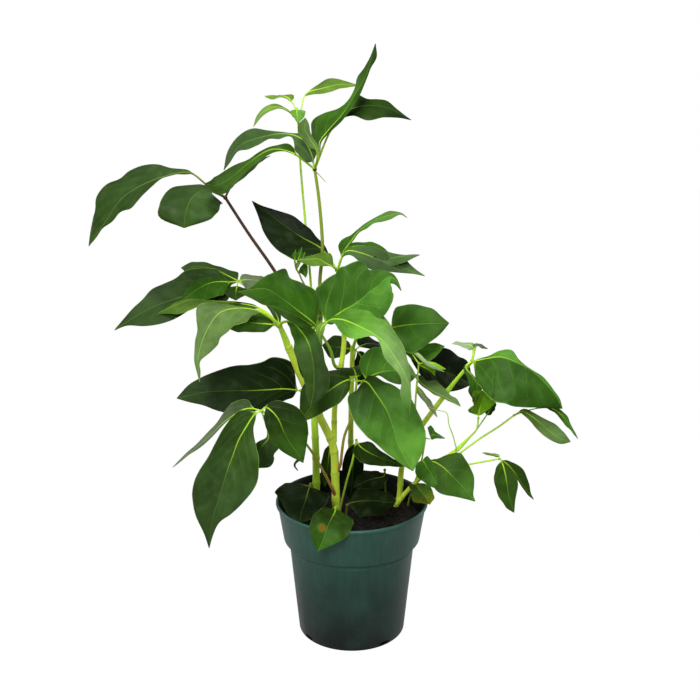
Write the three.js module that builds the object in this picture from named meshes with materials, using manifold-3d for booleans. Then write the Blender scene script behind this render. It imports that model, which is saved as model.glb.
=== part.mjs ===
// A young climbing house plant in a nursery pot: five stems in dark soil, and leaves made of stalked leaflets.
// Millimetres, +Z up. The origin is the middle of the pot's flat base, and -Y is the side that is looked at.
import * as THREE from "three";
import { mergeVertices } from "three/addons/utils/BufferGeometryUtils.js";
import Module from "manifold-3d";

const wasm = await Module();
wasm.setup();

// The pot: a six inch nursery pot with a deep tapered rim band.
const pot = {
  height: 152,
  lipRadius: 82.5,
  lipHeight: 3,
  bandTopRadius: 80.4,
  bandFootRadius: 73.4,
  bandFootHeight: 109,
  stepHeight: 5,
  bodyTopRadius: 68.4,
  baseRadius: 58.6,
  wall: 1.5,
  easing: 1, // how far a moulded corner is eased
  insideFillet: 2.5,
  sides: 32,
  drainHoles: 4,
  drainRadius: 5,
  drainLength: 12,
  drainTurn: 37,
};

// The soil ends a little below the rim, and is heaped in the middle. Its surface is broken into lumps.
const soilSize = { level: 129, heap: 4, lump: 1.6, lumpLength: 35, clearance: 0.7, rings: 4 };

// What every blade has, unless its own row says otherwise. Shares are of the blade's length or half width.
const blade = {
  thickness: 0.8,
  belly: 0.42, // the share of its length where it is widest
  fold: 8, // degrees by which each half rises from the midrib
  wave: 0.06, // how far the margins rise and fall
  waveTurns: 9, // the angle in radians that the waves run through from stalk to tip
  waveSlant: 2, // how far the two margins are out of step
  fullness: 0.8, // below 1 the outline is fuller than half a sine wave
  drawnOut: 0.3, // how much the end narrows towards the tip
  lobeLength: 0.07,
  tipHalfWidth: 0.7,
};

const SEAT_GAP = 0.3; // what a stalk keeps to the stem or the soil that holds it
const STOUT = 5; // a stem thicker than this has more sides
const LONG_STALK = 9; // a leaflet's stalk longer than this bends with the midrib
const MOST_STALK = 0.6; // the most of a leaflet's length that its stalk takes
const KNUCKLE = 0.75; // the knuckle's radius at a hub, in diameters of the petiole
const LEAFLET_STALK = 0.4; // the radius of a leaflet's stalk, in the same way
const STALK_TAPER = 0.8; // what is left of that radius half way along
const BROAD = 42; // a blade this wide has the most cells
const MIDDLING = 24;

const colours = {
  pot: 0x2d5a50,
  soil: 0x1b1714,
  stem: 0x7fa04a,
  young: 0x6aa23e,
  leaf: 0x2f6a33,
};

// Stems: the route of the axis from inside the soil upwards, and the diameters at its two ends.
const stems = {
  stem_main: {
    route: [
      [-16, 11, 100],
      [-17, 10, 136],
      [-18, 8, 173],
      [-19, 5, 204],
      [-22, 3, 218],
      [-35, 0, 248],
      [-50, -5, 285],
      [-66, -14, 329],
    ],
    across: [9.4, 7.6],
  },
  stem_back_left: {
    route: [
      [-36, 46, 100],
      [-40, 49, 134],
      [-40, 45, 153],
      [-40, 40, 190],
      [-41, 34, 234],
      [-41, 30, 272],
      [-36, 18, 315],
      [-33, 10, 356],
    ],
    across: [9, 6],
  },
  stem_back: {
    route: [
      [0, 58, 100],
      [0, 60, 136],
      [-1, 60, 179],
      [-1, 58, 210],
      [0, 52, 277],
      [1, 48, 311],
    ],
    across: [7, 5],
  },
  stem_right: {
    route: [
      [46, 40, 100],
      [54, 45, 134],
      [56, 42, 170],
      [62, 36, 200],
      [79, 25, 231],
      [104, 8, 275],
    ],
    across: [7, 5],
  },
  stem_low_right: {
    route: [
      [42, 24, 100],
      [50, 24, 133],
      [72, 16, 166],
      [91, 0, 192],
      [108, -10, 210],
    ],
    across: [6, 4],
  },
};

// Leaves. A petiole's route starts inside what it grows from and ends at the hub.
// Each leaflet: the middle of its midrib, its tip, its width, the length of its stalk, the way its upper side
// looks, and what is special about its blade.
const leaves = {
  leaf_crown: {
    grows: "stem_back_left",
    petiole: [
      [-33, 10, 350],
      [-33, 9, 368],
      [-33, 8, 393],
      [-30, 4, 426],
      [-33, 2, 476],
      [-37, 0, 507],
    ],
    across: [4.2, 3],
    leaflets: [
      [[-8, -4, 569], [23, 15, 627], 32, 18, [-7, -5, 3], { fold: 26, belly: 0.34 }],
      [[3, 22, 565], [62, 30, 553], 35, 34, [1, -6, 10], { belly: 0.45 }],
      [[-82, 20, 541], [-130, 30, 503], 32, 12, [-1, -8, 8], { twist: 40, belly: 0.45 }],
      [[-41, -12, 540], [-52, -22, 558], 20, 24, [-3, -8, 3], { belly: 0.46 }],
      [[-87, -24, 518], [-136, -52, 489], 32, 22, [-1, -7, 9], { belly: 0.6 }],
    ],
  },
  leaf_young_top: {
    grows: "stem_back_left",
    petiole: [
      [-37, 20, 310],
      [-41, 32, 337],
      [-43, 44, 364],
      [-45, 60, 386],
      [-50, 66, 446],
      [-54, 56, 509],
      [-55, 44, 551],
    ],
    across: [3, 2.2],
    young: true,
    leaflets: [
      [[-27, 50, 579], [6, 60, 588], 28, 20, [0, -5, 10], { belly: 0.5 }],
      [[-78, 27, 562], [-98, 12, 548], 15, 16, [0, -5, 10], {}],
      [[-71, 60, 570], [-89, 84, 574], 12, 12, [0, -5, 10], {}],
      [[-52, 15, 570], [-53, 2, 554], 18, 18, [0, -9, 5], {}],
    ],
  },
  leaf_upper_left: {
    grows: "stem_back_left",
    petiole: [
      [-40, 30, 290],
      [-45, 20, 318],
      [-51, 5, 346],
      [-62, 4, 371],
      [-79, 0, 404],
      [-104, -4, 443],
      [-126, -8, 480],
    ],
    across: [3, 2],
    leaflets: [
      [[-201, -18, 498], [-256, -40, 436], 49, 46, [-3, -7, 8], { belly: 0.56 }],
      [[-153, -40, 488], [-162, -78, 457], 60, 10, [-2, -8, 6], { belly: 0.6 }],
      [[-111, 26, 501], [-86, 66, 514], 22, 14, [0, 2, 10], {}],
    ],
  },
  leaf_centre_high: {
    grows: "stem_main",
    petiole: [
      [-11, 12, 366],
      [-13, 11, 386],
      [-15, 10, 403],
    ],
    across: [4, 3.4],
    leaflets: [
      [[-7, -8, 440], [53, -30, 466], 22, 12, [0, -5, 10], {}],
      [[24, -14, 421], [71, -34, 406], 40, 12, [0, -6, 9], { lobes: [[0.86, -1, 0.45]] }],
      [[9, 45, 415], [51, 85, 403], 28, 12, [0, -2, 10], {}],
      [[-59, 39, 429], [-106, 62, 466], 59, 10, [4, -8, 5], {}],
      [[-36, -20, 419], [-54, -46, 420], 30, 10, [0, -9, 5], {}],
    ],
  },
  leaf_centre: {
    grows: "stem_main",
    petiole: [
      [-12, 10, 296],
      [-18, -2, 304],
      [-22, -18, 325],
      [-34, -38, 353],
    ],
    across: [3.6, 2.6],
    leaflets: [
      [[1, -58, 396], [47, -74, 403], 72, 12, [0, -10, 6], { belly: 0.5 }],
      [[21, -88, 374], [53, -118, 289], 46, 14, [2, -6, 8], {}],
      [[-70, -66, 402], [-110, -94, 402], 50, 12, [0, -6, 10], { belly: 0.37 }],
      [[-43, -28, 333], [-35, -22, 275], 30, 10, [-3, -10, 1], {}],
    ],
  },
  leaf_left_front: {
    grows: "stem_main",
    petiole: [
      [-64, -13, 322],
      [-69, -16, 337],
      [-74, -20, 352],
    ],
    across: [5.6, 4.4],
    leaflets: [
      [[-128, -42, 367], [-150, -82, 314], 38, 20, [-2, -8, 6], {}],
      [[-149, -8, 371], [-196, -20, 367], 24, 20, [0, -3, 10], {}],
      [[-101, -4, 352], [-133, 18, 334], 38, 10, [0, -8, 6], {}],
      [[-46, -58, 345], [-39, -94, 290], 35, 12, [0, -8, 6], { belly: 0.48 }],
      [[-74, 0, 360], [-64, 20, 346], 28, 8, [0, -7, 6], {}],
    ],
  },
  leaf_mid_left: {
    grows: "stem_main",
    petiole: [
      [-56, -8, 299],
      [-61, 3, 309],
      [-67, 10, 328],
      [-77, 14, 347],
      [-94, 16, 371],
      [-118, 16, 390],
    ],
    across: [2.6, 2],
    leaflets: [
      [[-167, -2, 384], [-239, -34, 351], 42, 16, [-1, -6, 8], { belly: 0.52 }],
      [[-152, 32, 392], [-181, 50, 395], 38, 12, [0, -6, 10], { belly: 0.55 }],
      [[-119, -2, 382], [-117, -20, 378], 24, 8, [0, -7, 8], {}],
      [[-95, 34, 391], [-69, 58, 391], 36, 10, [0, -4, 10], { belly: 0.55 }],
      [[-167, 32, 362], [-222, 44, 339], 36, 14, [0, -7, 8], {}],
    ],
  },
  leaf_left_broad: {
    grows: "stem_main",
    petiole: [
      [-43, -2, 268],
      [-49, 1, 271],
      [-54, 4, 274],
    ],
    across: [3, 2.4],
    leaflets: [
      [[-113, -14, 286], [-179, -34, 279], 60, 5, [0, -8, 7], { belly: 0.34, lobes: [[0.24, 1, 0.12]] }],
    ],
  },
  leaf_low_left: {
    grows: "stem_main",
    petiole: [
      [-18, 8, 152],
      [-22, -2, 166],
      [-28, -8, 182],
      [-47, -32, 227],
      [-70, -52, 261],
      [-90, -64, 275],
    ],
    across: [3.2, 2.2],
    leaflets: [
      [[-132, -74, 260], [-178, -82, 222], 32, 8, [-2, -2, 10], {}],
      [[-120, -94, 222], [-140, -116, 150], 62, 12, [-4, -8, 2], { belly: 0.52 }],
      [[-70, -76, 265], [-47, -88, 229], 44, 8, [3, -8, 4], {}],
      [[-92, -34, 225], [-96, -12, 189], 32, 20, [0, -9, -1], { belly: 0.58 }],
    ],
  },
  leaf_centre_front: {
    grows: "stem_main",
    petiole: [
      [-17, 8, 177],
      [-12, 3, 192],
      [-11, 2, 202],
      [-8, -6, 226],
      [0, -20, 254],
      [5, -44, 300],
    ],
    across: [3.2, 2.4],
    leaflets: [
      [[-22, -58, 299], [-51, -70, 266], 52, 8, [-1, -8, 6], {}],
      [[35, -78, 276], [61, -110, 235], 74, 10, [2, -8, 5], { belly: 0.5 }],
      [[34, -37, 311], [58, -28, 312], 46, 10, [0, -8, 6], {}],
      [[0, -18, 306], [-9, -4, 290], 34, 6, [0, -2, 10], {}],
    ],
  },
  leaf_back: {
    grows: "stem_back",
    petiole: [
      [0, 49, 304],
      [5, 42, 322],
      [11, 30, 339],
      [36, 5, 340],
    ],
    across: [3.2, 2.4],
    leaflets: [
      [[70, 0, 345], [102, 10, 344], 50, 10, [0, -8, 6], {}],
      [[64, 28, 318], [102, 52, 305], 36, 12, [0, -6, 8], {}],
      [[104, 58, 289], [135, 74, 258], 54, 40, [0, -9, 4], {}],
      [[84, -8, 285], [110, -20, 268], 24, 30, [0, -6, 8], {}],
    ],
  },
  leaf_right_inner: {
    grows: "stem_right",
    petiole: [
      [62, 36, 201],
      [66, 22, 216],
      [68, 2, 238],
      [66, -20, 267],
      [68, -30, 314],
    ],
    across: [2.4, 1.8],
    young: true,
    leaflets: [
      [[79, -36, 318], [93, -44, 309], 12, 6, [0, -6, 8], {}],
      [[56, -12, 317], [49, -8, 311], 12, 6, [0, -3, 8], {}],
      [[80, -20, 305], [88, -16, 297], 12, 6, [0, -3, 8], {}],
    ],
  },
  leaf_right: {
    grows: "stem_right",
    petiole: [
      [101, 10, 270],
      [110, 3, 286],
      [125, -10, 311],
    ],
    across: [4.4, 3.2],
    leaflets: [
      [[117, -6, 324], [104, -12, 330], 17, 6, [0, -6, 6], {}],
      [[130, -12, 330], [138, -20, 327], 10, 6, [0, -4, 8], {}],
      [[168, -30, 297], [212, -52, 274], 54, 6, [1, -9, 6], { lobes: [[0.3, -1, 0.22]] }],
      [[123, -18, 304], [132, -32, 287], 14, 8, [4, -4, 4], {}],
    ],
  },
  leaf_right_lobed: {
    grows: "stem_low_right",
    petiole: [
      [104, -8, 206],
      [113, -9, 212],
      [125, -14, 229],
      [131, -18, 239],
      [132, -20, 252],
    ],
    across: [2.4, 1.8],
    young: true,
    leaflets: [
      [[132, -28, 270], [137, -34, 288], 18, 4, [-5, -8, 3], {}],
      [[125, -30, 262], [119, -36, 263], 10, 4, [0, -8, 5], {}],
      [[139, 10, 259], [126, 30, 261], 22, 8, [0, -5, 8], {}],
    ],
  },
  leaf_right_low: {
    grows: "stem_low_right",
    petiole: [
      [96, -4, 197],
      [107, -17, 206],
      [122, -19, 219],
      [137, -20, 231],
      [152, -28, 245],
      [167, -34, 260],
    ],
    across: [2.4, 1.8],
    young: true,
    leaflets: [
      [[196, -44, 250], [221, -60, 241], 26, 8, [0, -7, 8], {}],
      [[209, -22, 257], [233, -40, 237], 18, 14, [0, -5, 8], {}],
    ],
  },
  leaf_right_hanging: {
    grows: "stem_low_right",
    petiole: [
      [86, 4, 186],
      [96, -16, 192],
      [107, -24, 199],
      [122, -32, 205],
      [152, -44, 216],
    ],
    across: [2.2, 1.8],
    leaflets: [
      [[159, -58, 198], [166, -64, 166], 25, 6, [-3, -8, 3], { belly: 0.48 }],
      [[177, -38, 199], [191, -34, 166], 17, 8, [2, -8, 4], {}],
      [[145, -26, 214], [138, -6, 207], 10, 6, [0, 0, 8], {}],
    ],
  },
  leaf_right_front: {
    grows: "stem_low_right",
    petiole: [
      [78, 11, 175],
      [77, -8, 190],
      [77, -24, 204],
    ],
    across: [2.6, 2.2],
    leaflets: [
      [[105, -40, 193], [126, -60, 176], 47, 8, [0, -9, 5], { lobes: [[0.28, -1, 0.12]] }],
      [[75, -32, 203], [88, -52, 187], 20, 4, [0, -8, 6], {}],
    ],
  },
  leaf_small_right: {
    grows: "stem_low_right",
    petiole: [
      [69, 17, 162],
      [75, 12, 186],
      [79, 0, 222],
    ],
    across: [2, 1.6],
    leaflets: [[[85, -10, 232], [99, -22, 230], 16, 4, [0, -8, 7], {}]],
  },
  leaf_pot_left: {
    grows: "soil",
    petiole: [
      [-36, 22, 112],
      [-37, 20, 141],
      [-44, -12, 174],
    ],
    across: [3, 2.4],
    leaflets: [
      [[-48, -36, 166], [-55, -70, 157], 46, 6, [0, -5, 10], {}],
      [[-63, -18, 176], [-82, -40, 178], 24, 6, [0, -3, 10], {}],
    ],
  },
  leaf_pot_front: {
    grows: "soil",
    petiole: [
      [-11, -8, 112],
      [-12, -12, 136],
      [-17, -34, 157],
    ],
    across: [2.8, 2.2],
    leaflets: [[[-24, -76, 158], [-34, -100, 140], 46, 5, [0, -4, 10], { belly: 0.48, fold: 2 }]],
  },
  leaf_pot_centre: {
    grows: "soil",
    petiole: [
      [-6, 4, 112],
      [-6, 0, 132],
      [-5, -8, 148],
    ],
    across: [2.8, 2.2],
    leaflets: [[[19, -30, 160], [44, -40, 161], 40, 5, [0, -5, 10], {}]],
  },
  leaf_pot_right: {
    grows: "soil",
    petiole: [
      [38, 40, 112],
      [38, 42, 140],
      [37, 40, 169],
    ],
    across: [2.6, 2.2],
    leaflets: [[[22, 20, 165], [0, 0, 167], 42, 5, [0, -5, 10], {}]],
  },
  leaf_pot_yellow: {
    grows: "soil",
    petiole: [
      [62, 30, 112],
      [64, 28, 138],
      [71, 22, 161],
    ],
    across: [2.2, 1.8],
    young: true,
    leaflets: [[[79, 4, 157], [88, -16, 154], 28, 4, [0, -8, 6], { belly: 0.5 }]],
  },
  leaf_pot_back: {
    grows: "soil",
    petiole: [
      [-12, -2, 112],
      [-13, 0, 134],
      [-6, 6, 168],
      [1, 8, 194],
      [5, 10, 216],
    ],
    across: [2.6, 2],
    leaflets: [[[28, -6, 214], [51, -24, 201], 38, 5, [0, -8, 8], {}]],
  },
  leaf_behind: {
    grows: "stem_back",
    petiole: [
      [0, 52, 280],
      [2, 60, 290],
      [4, 64, 302],
    ],
    across: [2.6, 2],
    leaflets: [
      [[20, 76, 306], [40, 92, 297], 36, 6, [0, -3, 10], {}],
      [[-13, 68, 306], [-33, 76, 300], 22, 6, [0, -3, 10], {}],
    ],
  },
  young_shoot: {
    grows: "stem_back_left",
    petiole: [
      [-35, 15, 330],
      [-43, 7, 350],
      [-49, 8, 372],
      [-51, 6, 391],
      [-55, 4, 404],
    ],
    across: [2.2, 1.6],
    young: true,
    leaflets: [
      [[-58, 1, 411], [-62, -3, 420], 7, 4, [0, -8, 4], {}],
      [[-53, 2, 412], [-50, -1, 421], 6, 4, [3, -8, 4], {}],
    ],
  },
};

// The fork of the main stem, which climbs to the high central leaf.
const fork = {
  route: [
    [-19, 5, 216],
    [-18, 8, 257],
    [-12, 10, 295],
    [-8, 12, 330],
    [-11, 12, 371],
  ],
  across: [6, 5],
};

const vector = (p) => new THREE.Vector3(...p);

// A closed geometry as a solid: corners that coincide become one, and triangles that collapse are dropped.
function solidFrom(geometry) {
  geometry.deleteAttribute("normal");
  geometry.deleteAttribute("uv");
  const merged = mergeVertices(geometry, 1e-4);
  const index = merged.index.array;
  const triVerts = [];
  for (let i = 0; i < index.length; i += 3) {
    const [a, b, c] = index.slice(i, i + 3);
    if (a !== b && b !== c && a !== c) triVerts.push(a, b, c);
  }
  return new wasm.Manifold(
    new wasm.Mesh({
      numProp: 3,
      vertProperties: merged.attributes.position.array,
      triVerts: new Uint32Array(triVerts),
    }),
  );
}

// The surface between rows of points that all have the same count, with the last point of a row next to its
// first, closed by a fan at each end.
function skin(rows) {
  const around = rows[0].length;
  const index = [];
  for (let i = 0; i + 1 < rows.length; i++) {
    for (let j = 0; j < around; j++) {
      const a = i * around + j;
      const b = i * around + ((j + 1) % around);
      index.push(a, b, b + around, a, b + around, a + around);
    }
  }
  const last = (rows.length - 1) * around;
  for (let j = 1; j + 1 < around; j++) {
    index.push(0, j + 1, j, last, last + j, last + j + 1);
  }
  return new THREE.BufferGeometry().setFromPoints(rows.flat()).setIndex(index);
}

// A round stalk or stem along a route, tapering between two diameters.
function stalk(route, across, grow = 0) {
  const curve = new THREE.CatmullRomCurve3(route.map(vector), false, "centripetal");
  const steps = route.length + 1;
  const sides = across[0] > STOUT ? 8 : 5;
  const frames = curve.computeFrenetFrames(steps);
  const rows = [];
  for (let i = 0; i <= steps; i++) {
    const radius = THREE.MathUtils.lerp(across[0], across[1], i / steps) / 2 + grow;
    const centre = curve.getPointAt(i / steps);
    rows.push(
      Array.from({ length: sides }, (_, j) => {
        const turn = (2 * Math.PI * j) / sides;
        return centre
          .clone()
          .addScaledVector(frames.normals[i], radius * Math.cos(turn))
          .addScaledVector(frames.binormals[i], radius * Math.sin(turn));
      }),
    );
  }
  return solidFrom(skin(rows));
}

// The midrib of a leaflet: a curve from the hub through its middle to its tip.
function midrib(hub, middle, tip) {
  const pull = vector(middle).multiplyScalar(2).addScaledVector(vector(hub), -0.5);
  pull.addScaledVector(vector(tip), -0.5);
  return new THREE.QuadraticBezierCurve3(vector(hub), pull, vector(tip));
}

// The half width of a blade at a share of its length: widest at the belly, drawn out to a point at the tip.
// A lobe swells one margin, or notches it where its size is negative.
function halfWidth(share, width, side, { belly = blade.belly, lobes = [] }) {
  const power = Math.log(0.5) / Math.log(belly);
  const swell = Math.sin(Math.PI * share ** power) ** blade.fullness;
  const taper = 1 - blade.drawnOut * share ** 5;
  const lobe = lobes
    .filter(([, lobeSide]) => lobeSide === side)
    .reduce((sum, [at, , size]) => sum + size * Math.exp(-(((share - at) / blade.lobeLength) ** 2)), 0);
  return Math.max(blade.tipHalfWidth, (width / 2) * (swell * taper + lobe));
}

// How many cells a leaflet's sheet has across and along it.
const cellsFor = (width) => (width >= BROAD ? [4, 6] : width >= MIDDLING ? [2, 6] : [2, 4]);

// One leaflet: a round stalk that opens into a thin sheet on the same midrib. The sheet is arched with the
// midrib, folded along it by an angle, and its margins rise and fall.
function leaflet(hub, [middle, tip, width, stalkLength, looks, form], stalkRadius) {
  const { fold = blade.fold, twist = 0 } = form;
  const curve = midrib(hub, middle, tip);
  const start = Math.min(MOST_STALK, stalkLength / curve.getLength());
  const [across, along] = cellsFor(width);
  const around = 2 * (across + 1);
  const middleTangent = curve.getTangent(0.5);
  const middleUp = vector(looks).projectOnPlane(middleTangent).normalize();
  const lift = Math.sin(THREE.MathUtils.degToRad(fold));
  const reach = Math.cos(THREE.MathUtils.degToRad(fold));
  const frameAt = (t) => {
    const tangent = curve.getTangent(t);
    const turn = new THREE.Quaternion().setFromUnitVectors(middleTangent, tangent);
    const roll = THREE.MathUtils.degToRad(twist * ((t - start) / (1 - start) - 0.5));
    const up = middleUp.clone().applyQuaternion(turn).applyAxisAngle(tangent, roll);
    return { centre: curve.getPoint(t), up, side: tangent.clone().cross(up) };
  };
  const ring = (t, radius) => {
    const { centre, up, side } = frameAt(t);
    return Array.from({ length: around }, (_, j) => {
      const turn = Math.PI * (1 - (2 * j + 1) / around);
      return centre
        .clone()
        .addScaledVector(side, radius * Math.cos(turn))
        .addScaledVector(up, radius * Math.sin(turn));
    });
  };
  const sheet = (share, height) => {
    const { centre, up, side } = frameAt(start + (1 - start) * share);
    return Array.from({ length: across + 1 }, (_, j) => {
      const k = (2 * j) / across - 1;
      const half = halfWidth(share, width, Math.sign(k), form);
      const ripple = blade.wave * Math.sin(blade.waveTurns * share + blade.waveSlant * k) * k * k;
      return centre
        .clone()
        .addScaledVector(side, k * half * reach)
        .addScaledVector(up, Math.abs(k) * half * lift + half * ripple + height);
    });
  };
  const offset = blade.thickness / 2 / reach;
  const rows = [ring(0, stalkRadius)];
  if (stalkLength > LONG_STALK) rows.push(ring(start / 2, stalkRadius * STALK_TAPER));
  rows.push(ring(start, blade.thickness));
  for (let i = 1; i <= along; i++) {
    rows.push([...sheet(i / along, offset), ...sheet(i / along, -offset).reverse()]);
  }
  return solidFrom(sheetSkin(rows, across));
}

// The closed surface of a leaflet, whose upper and lower faces are split into triangles alike.
function sheetSkin(rows, across) {
  const around = 2 * (across + 1);
  const index = [];
  const quad = (a, b, c, d) => index.push(a, b, c, a, c, d);
  for (let i = 0; i + 1 < rows.length; i++) {
    const row = i * around;
    const next = row + around;
    for (let j = 0; j < around; j++) {
      const after = (j + 1) % around;
      if (j > across && j < around - 1) quad(row + after, next + after, next + j, row + j);
      else quad(row + j, row + after, next + after, next + j);
    }
  }
  const last = (rows.length - 1) * around;
  for (let j = 0; j < across; j++) {
    const under = around - 1 - j;
    quad(j, under, under - 1, j + 1);
    quad(last + j, last + j + 1, last + under - 1, last + under);
  }
  return new THREE.BufferGeometry().setFromPoints(rows.flat()).setIndex(index);
}

const join = (solids) => solids.reduce((all, one) => all.add(one));

// A leaf: its petiole, a small knuckle at the hub, and the leaflets, grown together.
function leafSolid({ petiole, across, leaflets }) {
  const hub = petiole.at(-1);
  const knuckle = new THREE.IcosahedronGeometry(across[1] * KNUCKLE, 0).translate(...hub);
  const blades = leaflets.map((row) => leaflet(hub, row, across[1] * LEAFLET_STALK));
  return join([stalk(petiole, across), solidFrom(knuckle), ...blades]);
}

// The pot: its outline from the middle of the base up the outside, over the lip and down the inside.
function potSolid() {
  const { wall, easing, bandFootHeight: foot } = pot;
  const stepFoot = foot - pot.stepHeight;
  const lipFoot = pot.height - pot.lipHeight;
  const outline = [
    [0, 0],
    [pot.baseRadius - easing, 0],
    [pot.baseRadius, easing],
    [pot.bodyTopRadius, stepFoot],
    [pot.bandFootRadius - easing, foot - easing],
    [pot.bandFootRadius, foot],
    [pot.bandTopRadius, lipFoot - easing],
    [pot.lipRadius, lipFoot],
    [pot.lipRadius, pot.height - easing],
    [pot.lipRadius - easing, pot.height],
    [pot.bandTopRadius - wall + easing, pot.height],
    [pot.bandTopRadius - wall, lipFoot],
    [pot.bandFootRadius - wall, foot + easing],
    [pot.bodyTopRadius - wall, stepFoot + easing],
    [pot.baseRadius - wall, wall + pot.insideFillet],
    [pot.baseRadius - wall - pot.insideFillet, wall],
    [0, wall],
  ];
  const points = outline.map(([r, z]) => new THREE.Vector2(r, z));
  const shell = solidFrom(new THREE.LatheGeometry(points, pot.sides).rotateX(Math.PI / 2));
  const holes = Array.from({ length: pot.drainHoles }, (_, i) => {
    const hole = new THREE.CylinderGeometry(pot.drainRadius, pot.drainRadius, pot.drainLength, 12);
    hole.rotateZ(Math.PI / 2).translate(pot.baseRadius, 0, easing);
    const turn = THREE.MathUtils.degToRad(pot.drainTurn + (360 * i) / pot.drainHoles);
    return solidFrom(hole.rotateZ(turn));
  });
  return holes.reduce((left, hole) => left.subtract(hole), shell);
}

// How far the surface of the soil stands above or below its level, in lumps and a low heap.
function soilRelief(x, y) {
  const out = Math.min(1, Math.hypot(x, y) / pot.bandFootRadius);
  const turn = (2 * Math.PI) / soilSize.lumpLength;
  const lump = Math.sin(x * turn) * Math.cos(y * turn + (x * turn) / 3);
  return soilSize.heap * Math.cos((Math.PI / 2) * out) + soilSize.lump * lump;
}

// The soil: the inside of the pot up to its level, with rings of points on the surface that carry the relief.
function soilSolid() {
  const { level, clearance, rings } = soilSize;
  const inset = pot.wall + clearance;
  const foot = pot.bandFootHeight;
  const bandTop = pot.height - pot.lipHeight - pot.easing;
  const bandShare = (level - foot) / (bandTop - foot);
  const edge = THREE.MathUtils.lerp(pot.bandFootRadius, pot.bandTopRadius, bandShare) - inset;
  const surface = Array.from({ length: rings }, (_, i) => [edge * (1 - (i + 1) / rings), level]);
  const outline = [
    [0, pot.wall + SEAT_GAP],
    [pot.baseRadius - inset - pot.insideFillet, pot.wall + SEAT_GAP],
    [pot.baseRadius - inset, pot.wall + SEAT_GAP + pot.insideFillet],
    [pot.bodyTopRadius - inset, foot - pot.stepHeight + pot.easing],
    [pot.bandFootRadius - inset, foot + 2 * pot.easing],
    [edge, level],
    ...surface,
  ];
  const points = outline.map(([r, z]) => new THREE.Vector2(r, z));
  const geometry = new THREE.LatheGeometry(points, pot.sides).rotateX(Math.PI / 2);
  const place = geometry.attributes.position;
  for (let i = 0; i < place.count; i++) {
    const [x, y, z] = [place.getX(i), place.getY(i), place.getZ(i)];
    const onSurface = z > level - SEAT_GAP && Math.hypot(x, y) < edge - SEAT_GAP;
    if (onSurface) place.setZ(i, z + soilRelief(x, y));
  }
  return solidFrom(geometry);
}

// Every stem and stalk stands in a plain hole of its own width in what holds it.
const holders = { soil: soilSolid() };
for (const [name, { route, across }] of Object.entries(stems)) {
  holders[name] = stalk(route, across);
  holders.soil = holders.soil.subtract(stalk(route, across, SEAT_GAP));
}
holders.stem_main = holders.stem_main.add(stalk(fork.route, fork.across));
for (const { grows, petiole, across } of Object.values(leaves)) {
  holders[grows] = holders[grows].subtract(stalk(petiole, across, SEAT_GAP));
}

const plant = new THREE.Group();

function addPiece(name, solid, color, roughness) {
  const { vertProperties, triVerts } = solid.getMesh();
  const geometry = new THREE.BufferGeometry();
  geometry.setAttribute("position", new THREE.BufferAttribute(vertProperties, 3));
  geometry.setIndex(new THREE.BufferAttribute(triVerts, 1));
  geometry.computeVertexNormals();
  const mesh = new THREE.Mesh(
    geometry,
    new THREE.MeshStandardMaterial({ color, roughness, metalness: 0 }),
  );
  mesh.name = name;
  plant.add(mesh);
}

addPiece("pot", potSolid(), colours.pot, 0.45);
for (const [name, solid] of Object.entries(holders)) {
  const isSoil = name === "soil";
  addPiece(name, solid, isSoil ? colours.soil : colours.stem, isSoil ? 1 : 0.6);
}
for (const [name, leaf] of Object.entries(leaves)) {
  addPiece(name, leafSolid(leaf), leaf.young ? colours.young : colours.leaf, 0.5);
}

export default plant;
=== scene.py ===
# %% [markdown]
# # Finishing a potted climbing plant
# The plant and its pot are already modelled as plain faceted solids at their real size. This lesson gives
# them the surfaces of the real thing: smooth skins, thin waved blades with their veins, moulded plastic and
# damp soil. The solids are loaded first, because every finished piece takes the place of one of them.

# %% Load the solids
import math
import random

import bmesh
import bpy
from mathutils import Matrix, Quaternion, Vector, noise


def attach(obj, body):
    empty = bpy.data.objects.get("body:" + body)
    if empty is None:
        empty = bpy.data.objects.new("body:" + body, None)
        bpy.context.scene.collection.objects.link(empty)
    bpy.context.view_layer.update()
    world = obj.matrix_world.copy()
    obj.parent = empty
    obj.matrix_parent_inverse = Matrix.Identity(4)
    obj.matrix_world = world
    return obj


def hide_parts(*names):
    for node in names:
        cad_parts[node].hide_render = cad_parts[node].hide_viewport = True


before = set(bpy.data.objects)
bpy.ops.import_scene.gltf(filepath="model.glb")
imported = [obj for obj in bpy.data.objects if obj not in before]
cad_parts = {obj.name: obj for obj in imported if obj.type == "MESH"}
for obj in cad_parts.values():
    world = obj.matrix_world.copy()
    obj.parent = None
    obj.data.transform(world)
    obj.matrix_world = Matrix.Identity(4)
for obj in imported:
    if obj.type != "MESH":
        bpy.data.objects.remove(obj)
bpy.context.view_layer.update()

MM = 0.001

# %% [markdown]
# ## The camera
# A photograph of a pot plant is usually taken from a little above, so that the soil shows inside the rim.
# The ellipse of the rim gives the tilt: the flatter it is, the lower the camera stands. The lens is a mild
# telephoto, which keeps the pot's sides nearly straight.

# %% Camera
EYE_MM = (-1.92, -1045.5, 617.7)
EYE = Vector(EYE_MM) * MM
TILT_DOWN = math.radians(15.892)
LENS_MM = 53.55
SENSOR_MM = 36

camera_data = bpy.data.cameras.new("camera")
camera_data.lens = LENS_MM
camera_data.sensor_width = SENSOR_MM
camera = bpy.data.objects.new("camera", camera_data)
camera.location = EYE
camera.rotation_euler = (math.pi / 2 - TILT_DOWN, 0, 0)
bpy.context.scene.collection.objects.link(camera)
bpy.context.scene.camera = camera
print("camera height in mm:", round(EYE.z / MM))

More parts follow.
